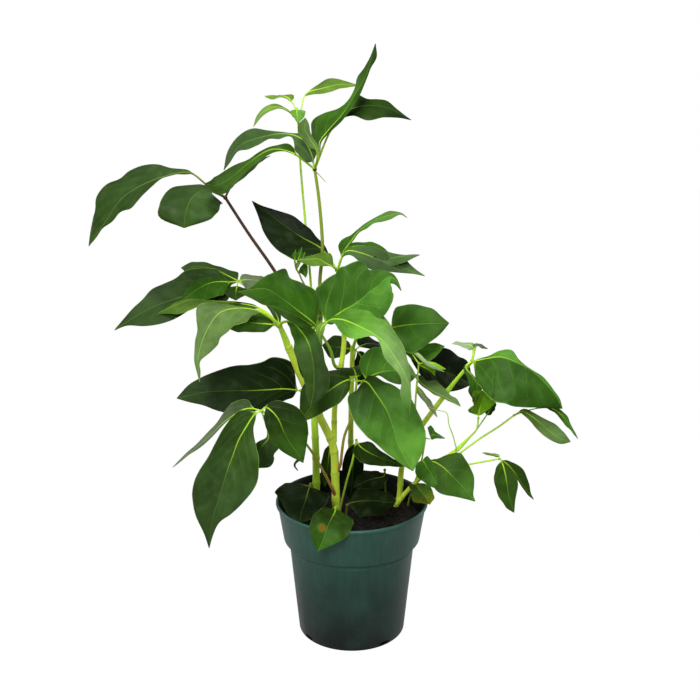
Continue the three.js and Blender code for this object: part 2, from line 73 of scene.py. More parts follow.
# %% [markdown]
# ## The studio
# A plant shot for a catalogue stands on a white sheet under broad soft lights. Leaves are glossy, so the
# lamps have to be large: a small one would leave hard spots on every blade. One hangs above and one stands
# high in front. A weak one stands low in front, because upright stems turn away from the other two. Two
# more stand behind at the sides and give the pot's edges their sheen. The sky is dim, so that leaves deep
# in the plant stay dark, and gloss sees a brighter sky than the rest does.

# %% Lights and floor
FLOOR_SIZE = 8.0
SKY_SEEN = 1.0
SKY_LIGHT = 0.12
SKY_GLOSS = 0.4
POT_MIDDLE = (0, 0, 0.2)
PLANT_LOW = (0, 0, 0.25)
PLANT_MIDDLE = (0, 0, 0.3)


def soft_light(name, place, aim, size, power):
    """A square lamp at a place, in metres, that faces a point. Its power is in watts."""
    data = bpy.data.lights.new(name, "AREA")
    data.shape = "SQUARE"
    data.size = size
    data.energy = power
    lamp = bpy.data.objects.new(name, data)
    lamp.location = place
    lamp.rotation_euler = (Vector(aim) - Vector(place)).to_track_quat("-Z", "Y").to_euler()
    bpy.context.scene.collection.objects.link(lamp)
    return lamp


soft_light("light_above", (-0.1, -0.5, 1.8), PLANT_MIDDLE, 0.6, 19)
soft_light("light_front", (-0.4, -1.5, 1.3), PLANT_MIDDLE, 0.5, 17)
soft_light("light_low", (0.2, -1.6, 0.45), PLANT_LOW, 0.5, 2.2)
soft_light("light_left", (-1.4, 0.6, 0.5), POT_MIDDLE, 0.8, 6)
soft_light("light_right", (1.4, 0.7, 0.5), POT_MIDDLE, 0.8, 7)

world = bpy.data.worlds.new("studio")
world.use_nodes = True
bpy.context.scene.world = world
sky = world.node_tree.nodes["Background"]
sky.inputs["Color"].default_value = (1, 1, 1, 1)
ray = world.node_tree.nodes.new("ShaderNodeLightPath")


def sky_strength(is_ray, otherwise, strength):
    """The strength for one kind of ray, and another socket or number for the rest."""
    choice = world.node_tree.nodes.new("ShaderNodeMix")
    world.node_tree.links.new(ray.outputs[is_ray], choice.inputs["Factor"])
    choice.inputs["B"].default_value = strength
    if isinstance(otherwise, float):
        choice.inputs["A"].default_value = otherwise
    else:
        world.node_tree.links.new(otherwise, choice.inputs["A"])
    return choice.outputs["Result"]


gloss = sky_strength("Is Glossy Ray", SKY_LIGHT, SKY_GLOSS)
world.node_tree.links.new(sky_strength("Is Camera Ray", gloss, SKY_SEEN), sky.inputs["Strength"])
bpy.context.scene.view_settings.view_transform = "Standard"

# %% [markdown]
# The floor is one flat sheet of paper. It belongs to the studio and not to the plant.

# %% Paper floor
sheet = bmesh.new()
bmesh.ops.create_grid(sheet, x_segments=1, y_segments=1, size=FLOOR_SIZE / 2)
floor_mesh = bpy.data.meshes.new("floor")
sheet.to_mesh(floor_mesh)
sheet.free()
floor = bpy.data.objects.new("floor", floor_mesh)
bpy.context.scene.collection.objects.link(floor)
print("floor in metres:", FLOOR_SIZE)

# %% [markdown]
# ## Writing shader maths as expressions
# Leaves need masks: how far a point is from the midrib, or how near it is to a side vein. In the node
# editor that is a long chain of Math nodes. A small class that wraps a socket lets the same chain be
# written as a sum.


# %% Sockets that can be added and multiplied
class Value:
    """The output of a node. Sums, products and powers of it become Math nodes."""

    def __init__(self, recipe, output):
        self.recipe = recipe
        self.output = output

    def _math(self, operation, *terms):
        return self.recipe.node("ShaderNodeMath", {"operation": operation}, dict(enumerate(terms)))

    def __add__(self, other):
        return self._math("ADD", self, other)

    def __sub__(self, other):
        return self._math("SUBTRACT", self, other)

    def __rsub__(self, other):
        return self._math("SUBTRACT", other, self)

    def __mul__(self, other):
        return self._math("MULTIPLY", self, other)

    def __truediv__(self, other):
        return self._math("DIVIDE", self, other)

    def __pow__(self, other):
        return self._math("POWER", self, other)

    __radd__ = __add__
    __rmul__ = __mul__

    def absolute(self):
        return self._math("ABSOLUTE", self)

    def fraction(self):
        return self._math("FRACT", self)

    def ramp(self, low, high):
        """0 up to low, 1 from high on, and smooth between them. It falls where high is below low."""
        settings = {"interpolation_type": "SMOOTHSTEP"}
        if low < high:
            return self.recipe.node("ShaderNodeMapRange", settings, {0: self, 1: low, 2: high})
        return 1 - self.recipe.node("ShaderNodeMapRange", settings, {0: self, 1: high, 2: low})


class Recipe:
    """A material, with one method that adds any node to it."""

    def __init__(self, name, roughness, specular=0.5):
        self.material = bpy.data.materials.new(name)
        self.material.use_nodes = True
        self.tree = self.material.node_tree
        self.shader = self.tree.nodes["Principled BSDF"]
        self.shader.inputs["Roughness"].default_value = roughness
        self.shader.inputs["Specular IOR Level"].default_value = specular

    def feed(self, socket, value):
        if isinstance(value, Value):
            self.tree.links.new(value.output, socket)
        else:
            socket.default_value = value

    def node(self, kind, settings=None, inputs=None, output=0):
        made = self.tree.nodes.new(kind)
        for name, value in (settings or {}).items():
            setattr(made, name, value)
        for name, value in (inputs or {}).items():
            self.feed(made.inputs[name], value)
        return Value(self, made.outputs[output])

    def place(self):
        """The point of the object, in metres."""
        return self.node("ShaderNodeTexCoord", output="Object")

    def stretched(self, scale):
        return self.node("ShaderNodeMapping", inputs={"Vector": self.place(), "Scale": scale})

    def noise(self, scale, detail=2.0, vector=None):
        inputs = {"Vector": vector or self.place(), "Scale": scale, "Detail": detail}
        return self.node("ShaderNodeTexNoise", inputs=inputs, output="Fac")

    def attribute(self, name, output="Fac"):
        return self.node("ShaderNodeAttribute", {"attribute_name": name}, output=output)

    def mix(self, share, first, second):
        """Two colours mixed by a share from 0 to 1."""
        return self.node("ShaderNodeMix", {"data_type": "RGBA"}, {0: share, 6: first, 7: second}, output=2)

    def scaled(self, shade, factor):
        """A colour made lighter or darker."""
        return self.node("ShaderNodeVectorMath", {"operation": "SCALE"}, {0: shade, "Scale": factor})

    def bump(self, height, distance):
        """Relief whose height of 1 stands for a distance in metres."""
        return self.node("ShaderNodeBump", inputs={"Height": height, "Distance": distance, "Strength": 1.0})

    def finish(self, **channels):
        for name, value in channels.items():
            self.feed(self.shader.inputs[name.replace("_", " ")], value)
        return self.material


def colour(red, green, blue):
    return (red, green, blue, 1.0)


print("nodes are added by", Recipe.node.__name__)

# %% [markdown]
# ## The finishes
# Nursery plastic is one dark green all through. Its surface is slightly rough from the mould, so it shows
# only a soft gloss at its edges. Its green is painted darker towards the base, as shade. Faint streaks run
# down it, and there is dust and a speck of soil here and there. Each of these is a noise of its own size.
# The wall's inside is painted near black as shade: there the skin faces the pot's axis, which the product
# of the level direction from the axis and the surface normal tells.

# %% Pot plastic
pot_recipe = Recipe("pot_plastic", roughness=0.38, specular=0.2)
moulding = pot_recipe.noise(900.0, detail=3.0)
dust = pot_recipe.noise(28.0, detail=5.0).ramp(0.35, 0.8)
height = pot_recipe.node("ShaderNodeSeparateXYZ", inputs={"Vector": pot_recipe.place()}, output="Z")
# painted shade: the green darkens from the rim down towards the base
painted_shade_green, high_green = colour(0.006, 0.013, 0.010), colour(0.034, 0.110, 0.080)
shaded_by_height = pot_recipe.mix((height + dust * 0.01).ramp(0.0, 0.15), painted_shade_green, high_green)
faces = pot_recipe.node("ShaderNodeNewGeometry", output="Normal")
level = pot_recipe.stretched((1.0, 1.0, 0.0))
outward = pot_recipe.node("ShaderNodeVectorMath", {"operation": "DOT_PRODUCT"}, {0: level, 1: faces}, "Value")
streaks = pot_recipe.noise(240.0, detail=4.0, vector=pot_recipe.stretched((1.0, 1.0, 0.08)))
streaked_and_shaded = pot_recipe.scaled(shaded_by_height, 0.62 + streaks * 0.7)
specks = pot_recipe.noise(330.0, detail=2.0).ramp(0.62, 0.72)
dusty = pot_recipe.mix(dust * 0.2, streaked_and_shaded, colour(0.07, 0.15, 0.12))
plastic = pot_recipe.mix(specks * 0.25, dusty, colour(0.06, 0.045, 0.035))
# painted shade: where the skin faces the axis, the inner wall turns near black
painted_inside_shade = colour(0.004, 0.006, 0.004)
pot_plastic = pot_recipe.finish(
    Base_Color=pot_recipe.mix(outward.ramp(-0.01, -0.02), plastic, painted_inside_shade),
    Roughness=0.26 + moulding * 0.12 + dust * 0.12,
    Normal=pot_recipe.bump(moulding, 0.00012),
)
print("materials:", pot_plastic.name)

# %% [markdown]
# The sheet is lit as paper, and the camera sees it almost white, with only a trace of the shadow. What the
# gloss mirrors is partly that white too, and the light that it throws up into the plant is weaker.

# %% Paper
PAPER_GLOW = 1.035
PAPER_SEEN = 0.96
PAPER_MIRRORED = 0.35

paper_recipe = Recipe("floor_paper", roughness=0.9, specular=0.1)
paper_recipe.finish(Base_Color=colour(0.3, 0.3, 0.3))
seen = paper_recipe.node("ShaderNodeLightPath", output="Is Camera Ray")
mirrored = paper_recipe.node("ShaderNodeLightPath", output="Is Glossy Ray")
glow = paper_recipe.node("ShaderNodeEmission", inputs={"Strength": PAPER_GLOW}, output="Emission")
paper = Value(paper_recipe, paper_recipe.shader.outputs["BSDF"])
white_share = seen * PAPER_SEEN + mirrored * PAPER_MIRRORED
both = {0: white_share, 1: paper, 2: glow}
sheet_shader = paper_recipe.node("ShaderNodeMixShader", inputs=both, output="Shader")
paper_recipe.feed(paper_recipe.tree.nodes["Material Output"].inputs["Surface"], sheet_shader)
floor.data.materials.append(paper_recipe.material)
print("materials:", paper_recipe.material.name)

# %% [markdown]
# Potting soil is a mix of black peat and brown fibres, and it is damp, so a few crumbs glint. Each crumb
# keeps a tone of its own in a vertex attribute, and noise breaks it up further.

# %% Soil
soil_recipe = Recipe("potting_soil", roughness=0.8, specular=0.3)
crumb_tone = soil_recipe.attribute("tone")
grit = soil_recipe.noise(700.0, detail=4.0)
peat, fibre = colour(0.0045, 0.0035, 0.003), colour(0.05, 0.032, 0.02)
potting_soil = soil_recipe.finish(
    Base_Color=soil_recipe.mix(crumb_tone * grit, peat, fibre),
    Roughness=0.95 - crumb_tone * 0.35,
    Normal=soil_recipe.bump(grit, 0.0006),
)
print("materials:", potting_soil.name)

# %% [markdown]
# A leaf's upper side is green with a waxy gloss, partly painted as pale patches of sheen, its midrib is a
# pale line that thins towards the tip, and fainter side veins curve from it to the margin. The underside is
# paler and dull. Painting all that as an image would need a map for each of some eighty leaflets. Here the
# mesh carries what the material needs instead: attributes hold the leaflet's own green with its painted
# shade and light, the distance from the midrib, the number of the nearest side vein, how clear its veins
# are, and which side is which. The lowest front leaf has one small rusty spot, which is set by its place.

# %% Leaf skin
SPOT = (-0.030, -0.083, 0.157)
SPOT_CORE = (0.0012, 0.0030)
SPOT_HALO = (0.002, 0.0075)
leaf_recipe = Recipe("leaf_skin", roughness=0.42, specular=0.05)
green = leaf_recipe.attribute("green", "Color")
vein_green = leaf_recipe.attribute("vein_green", "Color")
under = leaf_recipe.attribute("under")
edge = leaf_recipe.attribute("edge")
side_vein = (leaf_recipe.attribute("vein").fraction() - 0.5).absolute()
fine = leaf_recipe.noise(650.0, detail=3.0)
mottle = leaf_recipe.noise(150.0, detail=3.0)
cloud = leaf_recipe.noise(38.0, detail=3.0)

midrib_line = leaf_recipe.attribute("rib").ramp(1.0, 0.4)
vein_line = side_vein.ramp(0.055, 0.015) * edge.ramp(0.95, 0.55) * leaf_recipe.attribute("clear")
between_veins = side_vein.ramp(0.05, 0.45)
patches = cloud.ramp(0.3, 0.7) * 0.44 + mottle * 0.3 + fine * 0.4
shading = 0.52 + patches - between_veins * 0.06 - edge * edge * 0.12
blade_green = leaf_recipe.scaled(green, shading)
lit_green = leaf_recipe.scaled(green, 1.7)
pale_green = leaf_recipe.mix(under * 0.45, blade_green, colour(0.16, 0.26, 0.11))
edged = leaf_recipe.mix(edge.ramp(0.955, 1.0) * 0.45, pale_green, vein_green)
# painted sheen: pale patches that stand for gloss catching the light
painted_sheen_mask = leaf_recipe.noise(75.0, detail=4.0).ramp(0.52, 0.75)
sheened_green = leaf_recipe.mix(painted_sheen_mask * 0.05, edged, colour(0.26, 0.36, 0.2))
veined = leaf_recipe.mix(vein_line, sheened_green, leaf_recipe.mix(0.35, lit_green, vein_green))
ribbed = leaf_recipe.mix(midrib_line, veined, vein_green)
apart = {0: leaf_recipe.place(), 1: SPOT}
from_spot = leaf_recipe.node("ShaderNodeVectorMath", {"operation": "DISTANCE"}, apart, "Value")
withered = leaf_recipe.mix(from_spot.ramp(SPOT_HALO[1], SPOT_HALO[0]) * 0.6, ribbed, colour(0.16, 0.20, 0.02))
spotted = leaf_recipe.mix(from_spot.ramp(SPOT_CORE[1], SPOT_CORE[0]), withered, colour(0.27, 0.07, 0.01))
relief = fine * 0.25 - vein_line * 1.4 - midrib_line * 0.8 + cloud * 0.8
leaf_skin = leaf_recipe.finish(
    Base_Color=spotted,
    Roughness=0.36 + fine * 0.1 + under * 0.2,
    Normal=leaf_recipe.bump(relief, 0.00035),
)

print("materials:", leaf_skin.name)

# %% [markdown]
# Stems and stalks share one skin: fine streaks along it, larger blotches, and brown where a ring scar is.

# %% Stem skin
stem_recipe = Recipe("stem_skin", roughness=0.4, specular=0.25)
streak = stem_recipe.noise(420.0, detail=3.0, vector=stem_recipe.stretched((1.0, 1.0, 0.07)))
blotch = stem_recipe.noise(70.0, detail=3.0)
stem_green = stem_recipe.attribute("green", "Color")
stem_shading = 0.72 + streak * 0.34 + blotch * 0.26
scar = stem_recipe.attribute("scar")
stem_colour = stem_recipe.scaled(stem_green, stem_shading)
stem_skin = stem_recipe.finish(
    Base_Color=stem_recipe.mix(scar, stem_colour, colour(0.16, 0.11, 0.045)),
    Roughness=0.38 + streak * 0.14 + scar * 0.3,
    Normal=stem_recipe.bump(streak, 0.0004),
)
print("materials:", stem_skin.name)

# %% [markdown]
# ## Lines and skins
# Stems, petioles and midribs are all smooth lines through a few given points. A centripetal curve is
# used, because it doesn't bulge where the points are unevenly spaced. All modelling is done in millimetres,
# and a piece is scaled to metres once, when it is written to its mesh.


# %% Smooth lines
SPAN_STEPS = 12


def smooth_line(route):
    """Close points on a smooth curve through the route's points."""
    inner = [Vector(p) for p in route]
    points = [2 * inner[0] - inner[1], *inner, 2 * inner[-1] - inner[-2]]
    line = []
    for a, b, c, d in zip(points, points[1:], points[2:], points[3:]):
        ab, bc, cd = (math.sqrt((q - p).length) for p, q in ((a, b), (b, c), (c, d)))
        leave = ((b - a) / ab - (c - a) / (ab + bc) + (c - b) / bc) * bc
        arrive = ((c - b) / bc - (d - b) / (bc + cd) + (d - c) / cd) * bc
        for i in range(SPAN_STEPS):
            t = i / SPAN_STEPS
            line.append(
                b * (2 * t**3 - 3 * t**2 + 1)
                + leave * (t**3 - 2 * t**2 + t)
                + c * (3 * t**2 - 2 * t**3)
                + arrive * (t**3 - t**2)
            )
    return [*line, inner[-1]]


def length_of(line):
    return sum((q - p).length for p, q in zip(line, line[1:]))


def stations(line, count):
    """Points at even distances along a line, from its start to its end, each with the direction there."""
    step = length_of(line) / count
    found, walked, wanted = [], 0.0, 0.0
    for p, q in zip(line, line[1:]):
        span = (q - p).length
        while wanted <= walked + span + 1e-6 and len(found) <= count:
            found.append((p.lerp(q, min(1.0, (wanted - walked) / span)), (q - p).normalized()))
            wanted += step
        walked += span
    while len(found) <= count:
        found.append((line[-1], (line[-1] - line[-2]).normalized()))
    return found


print("steps between two points:", SPAN_STEPS)

# %% [markdown]
# Every stalk and every leaflet is a flat grid that is rolled up round such a line. Rolling a grid keeps the
# faces in tidy rows, which is what a smooth skin and a vein pattern need. The seam is merged and the ends
# are closed.


# %% A rolled grid
SHARP = math.radians(75)
ATTRIBUTES = ("rib", "vein", "clear", "under", "edge", "scar", "tone")
COLOURS = ("green", "vein_green")


def new_mesh():
    """An empty bmesh with the attributes that the finishes read."""
    bm = bmesh.new()
    for name in ATTRIBUTES:
        bm.verts.layers.float.new(name)
    for name in COLOURS:
        bm.verts.layers.float_color.new(name)
    return bm


def rolled_grid(bm, around, rows, shape):
    """A closed skin. shape(turn, share, set) gives a vertex its place: turn is -1 to 1 round the section."""
    made = bmesh.ops.create_grid(bm, x_segments=around, y_segments=rows, size=1)["verts"]
    floats = {name: bm.verts.layers.float[name] for name in ATTRIBUTES}
    colours = {name: bm.verts.layers.float_color[name] for name in COLOURS}
    for v in made:
        place, values = shape(v.co.x, (v.co.y + 1) / 2)
        v.co = place
        for name, value in values.items():
            if name in floats:
                v[floats[name]] = value
            else:
                v[colours[name]] = value
    seam = [v for v in made if any(e.is_boundary for e in v.link_edges)]
    bmesh.ops.remove_doubles(bm, verts=seam, dist=1e-4)
    rim = {e for v in made if v.is_valid for e in v.link_edges if e.is_boundary}
    bmesh.ops.holes_fill(bm, edges=list(rim), sides=0)


def write_piece(bm, name, materials, node=None):
    """Turns the bmesh into a finished piece in metres, which rides on the body and stands for its solid."""
    bmesh.ops.recalc_face_normals(bm, faces=bm.faces)
    bmesh.ops.scale(bm, vec=(MM, MM, MM), verts=bm.verts)
    for face in bm.faces:
        face.smooth = True
    mesh = bpy.data.meshes.new(name)
    bm.to_mesh(mesh)
    bm.free()
    mesh.set_sharp_from_angle(angle=SHARP)
    for material in materials:
        mesh.materials.append(material)
    piece = bpy.data.objects.new(name, mesh)
    bpy.context.scene.collection.objects.link(piece)
    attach(piece, "root")
    if node:
        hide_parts(node)
    return piece


print("attributes on every vertex:", len(ATTRIBUTES) + len(COLOURS))

# %% [markdown]
# ## The greens
# No two leaves of the plant have the same green, and the greens also carry painted shade and light. Old
# leaves deep in the plant are nearly black, partly from age and partly as painted shade, full-grown ones in
# the light are a mid green, some have a grey bloom that is partly painted sheen, whitish greens are painted
# sheen, and the newest are a light yellow-green. Stalks are lighter than the blades, and some are flushed
# with red or brown where they are old.

# %% Named greens
# painted shade and sheen: the darkest greens stand for blades in shade, the whitish and greyish ones for
# light on their gloss
GREENS = {
    "black": (0.006, 0.014, 0.002),
    "shade": (0.012, 0.028, 0.006),
    "dusk": (0.022, 0.055, 0.005),
    "dark": (0.032, 0.068, 0.015),
    "deep": (0.034, 0.088, 0.008),
    "mid": (0.042, 0.130, 0.010),
    "fresh": (0.064, 0.185, 0.020),
    "bright": (0.120, 0.310, 0.034),
    "pale": (0.125, 0.223, 0.055),
    "young": (0.132, 0.250, 0.030),
    "lime": (0.075, 0.185, 0.005),
    "moss": (0.056, 0.130, 0.014),
    "grey": (0.064, 0.130, 0.034),
    "bloom": (0.130, 0.175, 0.090),
    "yellow": (0.055, 0.090, 0.006),
    "straw": (0.240, 0.310, 0.015),
    "acid": (0.190, 0.420, 0.012),
    "whitish": (0.200, 0.340, 0.100),
    "frost": (0.250, 0.330, 0.170),
}
# painted light: the stem, shoot and green stalk colours are brighter than the skin, where the lamps reach
# upright stalks too little
STALKS = {
    "stem": (0.70, 0.92, 0.070),
    "shoot": (0.56, 0.90, 0.060),
    "green": (0.50, 0.84, 0.045),
    "leafy": (0.27, 0.40, 0.018),
    "olive": (0.17, 0.23, 0.03),
    "brown": (0.070, 0.034, 0.018),
    "red": (0.40, 0.125, 0.055),
    "dark": (0.030, 0.045, 0.010),
}
HUB_BROWN = (0.10, 0.05, 0.03)
VEIN_LIGHT = Vector((0.24, 0.38, 0.06))


def tone_at(names, share):
    """The green at a share of a blade, between the named greens that are evenly spaced from base to tip."""
    greens = [Vector(GREENS[name]) for name in names]
    place = min(1.0, share) * (len(greens) - 1)
    i = max(0, min(int(place), len(greens) - 2))
    return greens[i].lerp(greens[min(i + 1, len(greens) - 1)], place - i)


def with_alpha(rgb):
    return (*rgb, 1.0)


def mixed(first, second, share):
    return Vector(first).lerp(Vector(second), share)


print("greens:", list(GREENS))

# %% [markdown]
# ## One leaflet
# A leaflet is a short stalk that opens into a thin blade. No two outlines are alike, and it is the outline
# that the eye knows a leaf by. So most rows give the half widths of the blade at even steps from base to
# tip, once for the left of the midrib and once for the right, and a smooth curve joins them. A leaflet that
# others hide gets a plain outline instead: a sine that is skewed towards the base and drawn out at the tip.

# %% The outline
BELLY = 0.42
FULLNESS = 0.8
DRAWN_OUT = 0.3
BASE_WIDTH = 0.7
BASE_ROUNDNESS = 1.6
TIP_HALF_WIDTH = 0.35


def along(values, share):
    """A number as it is, or the smooth curve at a share of the way through evenly spaced numbers."""
    if isinstance(values, (int, float)):
        return values
    place = min(1.0, max(0.0, share)) * (len(values) - 1)
    i = min(int(place), len(values) - 2)
    t = place - i
    b, c = values[i], values[i + 1]
    a = values[i - 1] if i else 2 * b - c
    d = values[i + 2] if i + 2 < len(values) else 2 * c - b
    return b + t * ((c - a) / 2 + t * (a - 2.5 * b + 2 * c - d / 2 + t * (1.5 * (b - c) + (d - a) / 2)))


def half_width(share, side, row):
    """Half the blade's width in mm at a share of its length: on the right for side 1, and left for -1."""
    margin = row.get("right" if side > 0 else "left")
    if margin:
        round_base = min(1.0, math.sqrt(share * len(margin) * BASE_ROUNDNESS)) if share else 0.0
        widths = (margin[0] * BASE_WIDTH, *margin, TIP_HALF_WIDTH)
        return max(TIP_HALF_WIDTH, along(widths, share) * round_base)
    power = math.log(0.5) / math.log(BELLY)
    swell = max(0.0, math.sin(math.pi * share**power)) ** FULLNESS
    taper = 1 - DRAWN_OUT * share**5
    return max(TIP_HALF_WIDTH, row["width"] / 2 * (swell * taper))


print("a hidden leaflet is widest at", BELLY, "of its length")

# %% [markdown]
# The midrib is a curve from the hub, or from a base of its own, through the middle points of the blade to
# its tip. The blade is built in a frame that rides along the midrib: the way up is the way that the upper
# side looks at the middle of the blade, and it is carried along the curve without twisting, unless the row
# asks for a roll.

# %% The midrib
MOST_STALK = 0.6
RIB_STOPS = 96
ARC_STEPS = 64


class Midrib:
    """The arc of a leaflet from the hub to the tip, and the frame that its blade is built in."""

    def __init__(self, hub, row):
        hub, middle, tip = Vector(row.get("base", hub)), row["middle"], Vector(row["tip"])
        if isinstance(middle, list):
            line = smooth_line([hub, *middle, tip])
        else:
            pull = 2 * Vector(middle) - (hub + tip) / 2
            shares = [i / ARC_STEPS for i in range(ARC_STEPS + 1)]
            line = [hub * (1 - t) ** 2 + pull * (2 * t * (1 - t)) + tip * t**2 for t in shares]
        self.stops = stations(line, RIB_STOPS)
        self.length = length_of(line)
        self.start = min(MOST_STALK, row["stalk"] / self.length)
        self.looks = Vector(row["looks"])
        self.roll = row.get("roll", 0)

    def frame(self, t):
        """The point on the midrib, the way up and the way to the side."""
        place = min(1.0, t) * RIB_STOPS
        i = min(int(place), RIB_STOPS - 1)
        (here, way), (there, onward) = self.stops[i], self.stops[i + 1]
        middle_way = self.stops[RIB_STOPS // 2][1]
        tangent = way.lerp(onward, place - i).normalized()
        middle_up = (self.looks - self.looks.project(middle_way)).normalized()
        share = (t - self.start) / (1 - self.start)
        up = middle_way.rotation_difference(tangent) @ middle_up
        up = Quaternion(tangent, math.radians(along(self.roll, share))) @ up
        return here.lerp(there, place - i), up, tangent.cross(up)


print("stops along a midrib:", RIB_STOPS)

# %% [markdown]
# The skin of a leaflet has one row of points after another, first round the stalk and then round the blade.
# Over the first part of the blade the round section opens into the flat one, as a real blade grows out of
# its stalk. Each half of the blade rises a little from the midrib, sags again towards the margin, is
# quilted between its veins, and waves at its edge. Heights are shares of the half width, so that small
# leaflets get small waves. On the underside the midrib stands out as a ridge.

# %% The relief of a blade
BLADE_THICKNESS = 0.45
MARGIN_THINNING = 0.6
FOLD = 8
WAVE = 0.06
WAVE_TURNS = 9
WAVE_SLANT = 2
FINE_WAVE = 0.035
QUILT = 0.014
SAG = 0.10
RIB_HEIGHT = 0.9
RIB_TAPER = 0.75
RIB_HALF_WIDTH = 0.9
VEIN_SLANT = 0.36


def blade_lift(share, k, half, fold, veins, phase, ripples):
    """How far a blade's middle layer stands above the midrib, at k from -1 to 1 across it."""
    size = abs(k)
    ripple = WAVE * math.sin(WAVE_TURNS * share + WAVE_SLANT * k) * k * k
    ripple += FINE_WAVE * math.sin(ripples * share + phase + 3 * k) * size**3
    quilt = QUILT * math.cos(2 * math.pi * vein_number(share, size, veins)) * math.sin(math.pi * size)
    return size * half * math.sin(fold) + half * (ripple + quilt - SAG * size * (size - 0.5))


def vein_number(share, size, veins):
    """Counts the side veins. They slant, so a vein that leaves the midrib here ends further on."""
    return (share - VEIN_SLANT * size**1.2) * veins


def half_thickness(share, k, half, over):
    """From the middle layer to the skin: up on the upper side, down on the other."""
    thickness = BLADE_THICKNESS / 2 * (1 - MARGIN_THINNING * abs(k) ** 6)
    if over:
        return thickness
    return -thickness - RIB_HEIGHT * (1 - RIB_TAPER * share) * math.exp(-((k * half / RIB_HALF_WIDTH) ** 2))


print("a blade is", BLADE_THICKNESS, "mm thick")

# %% [markdown]
# The rows are rolled up into one closed skin. A leaflet's random numbers come from its own name, so it
# keeps its ripples when others are changed. Its colour runs from tone to tone between base and tip, which
# paints its shade and light along with its green, and one half may be lighter than the other, because it
# faces the light.

# %% The skin of a leaflet
STALK_ROWS = 8
OPENING = 0.04
STALK_TAPER = 0.25
CELL_MM = 2.2
VEIN_SPACING = 20.0
SIDE_VEINS = 0.2
CREASE_MM = 3


def add_leaflet(bm, hub, row, stalk_radius, stalk_green, seed):
    """Rolls one leaflet's skin round its midrib."""
    rib = Midrib(hub, row)
    blade_length = rib.length * (1 - rib.start)
    folds = row.get("fold", FOLD)
    columns = 2 * max(5, min(14, round(row["width"] / 2 / CELL_MM)))
    rows = max(14, min(60, round(blade_length / CELL_MM)))
    total = STALK_ROWS + rows
    tones = row["tone"] if isinstance(row["tone"], tuple) else (row["tone"],)
    halves = row.get("halves", (1, 1))
    veins = max(3, round(blade_length / VEIN_SPACING))
    dice = random.Random(seed)
    phase, ripples = dice.uniform(0, 6.28), dice.uniform(17, 25)

    def round_section(t, turn, radius):
        centre, up, side = rib.frame(t)
        angle = math.pi * turn
        return centre + side * (math.sin(angle) * radius) + up * (math.cos(angle) * radius)

    def flat_section(share, turn):
        centre, up, side = rib.frame(rib.start + (1 - rib.start) * share)
        over = abs(turn) <= 0.5
        spread = 2 * abs(turn) if over else 2 - 2 * abs(turn)
        k = math.copysign(math.sin(math.pi / 2 * spread) ** 1.4, turn)
        size = abs(k)
        half = half_width(share, int(math.copysign(1, turn)) if size else 0, row)
        fold = math.radians(along(folds, share))
        lift = blade_lift(share, k, half, fold, veins, phase, ripples)
        height = lift + half_thickness(share, k, half, over)
        place = centre + side * (k * half * math.cos(fold)) + up * height
        values = {
            "rib": size * half + 0.4 * share,
            "vein": vein_number(share, size, veins) + 0.5,
            "edge": size,
            "clear": row.get("veins", SIDE_VEINS),
            "half": min(1.0, max(0.0, 0.5 + k * half / CREASE_MM)),
            "under": 0.0 if over else 1.0,
        }
        return place, values

    def shape(turn, share_of_all):
        index = round(share_of_all * total)
        if index <= STALK_ROWS:
            at = index / STALK_ROWS
            place = round_section(rib.start * at, turn, stalk_radius * (1 - STALK_TAPER * at))
            skin = with_alpha(stalk_green)
            return place, {"rib": 9.0, "vein": 0.0, "green": skin, "vein_green": skin}
        share = (index - STALK_ROWS) / rows
        place, values = flat_section(share, turn)
        if share < OPENING:
            opened = share / OPENING
            blade_place = rib.start + (1 - rib.start) * share
            round_place = round_section(blade_place, turn, stalk_radius * (1 - STALK_TAPER))
            place = round_place.lerp(place, opened)
        blade_green = tone_at(tones, share)
        vein_green = mixed(blade_green * 1.8, VEIN_LIGHT, 0.1 + 0.6 * blade_green.y)
        blade_green *= halves[0] + (halves[1] - halves[0]) * values.pop("half")
        values["green"] = with_alpha(mixed(stalk_green, blade_green, min(1.0, share / 0.03)))
        values["vein_green"] = with_alpha(mixed(stalk_green, vein_green, min(1.0, share / 0.5)))
        return place, values

    rolled_grid(bm, 2 * columns, total, shape)


print("faces on a blade are about", CELL_MM, "mm long")

# %% [markdown]
# A petiole or stem is rolled the same way. It is a little thicker where it leaves its carrier, as the
# sheath of a real petiole is, and stems have a faint ring at each node, where an old leaf has dropped off.


# %% Stalks and stems
ROW_MM = 2.5
SHEATH_MM = 14
RING_SWELL = 0.13
RING_MM = 2.2
SCAR_DEPTH = 0.35
SCAR_MM = 0.9


def add_stalk(bm, route, across, green, tip_green=None, sheath=0.0, rings=(), sides=14):
    """Rolls a stalk round a route, tapering between two diameters."""
    line = smooth_line(route)
    length = length_of(line)
    rows = max(12, round(length / ROW_MM))
    places = stations(line, rows)
    heading = (line[-1] - line[0]).normalized()
    axes = Vector((1, 0, 0)), Vector((0, 1, 0)), Vector((0, 0, 1))
    reference = min(axes, key=lambda axis: abs(axis.dot(heading)))

    def shape(turn, share):
        centre, tangent = places[round(share * rows)]
        side = tangent.cross(reference).normalized()
        up = side.cross(tangent)
        at = share * length
        radius = (across[0] + (across[1] - across[0]) * share) / 2
        radius *= 1 + sheath * math.exp(-((at / SHEATH_MM) ** 2))
        scar = 0.0
        for ring in rings:
            radius *= 1 + RING_SWELL * math.exp(-(((at - ring) / RING_MM) ** 2))
            scar = max(scar, SCAR_DEPTH * math.exp(-(((at - ring - 1.2) / SCAR_MM) ** 2)))
        angle = math.pi * turn
        place = centre + (side * math.cos(angle) + up * math.sin(angle)) * radius
        return place, {"green": with_alpha(mixed(green, tip_green or green, share)), "scar": scar}

    rolled_grid(bm, sides, rows, shape)


print("rows on a stalk are", ROW_MM, "mm apart")

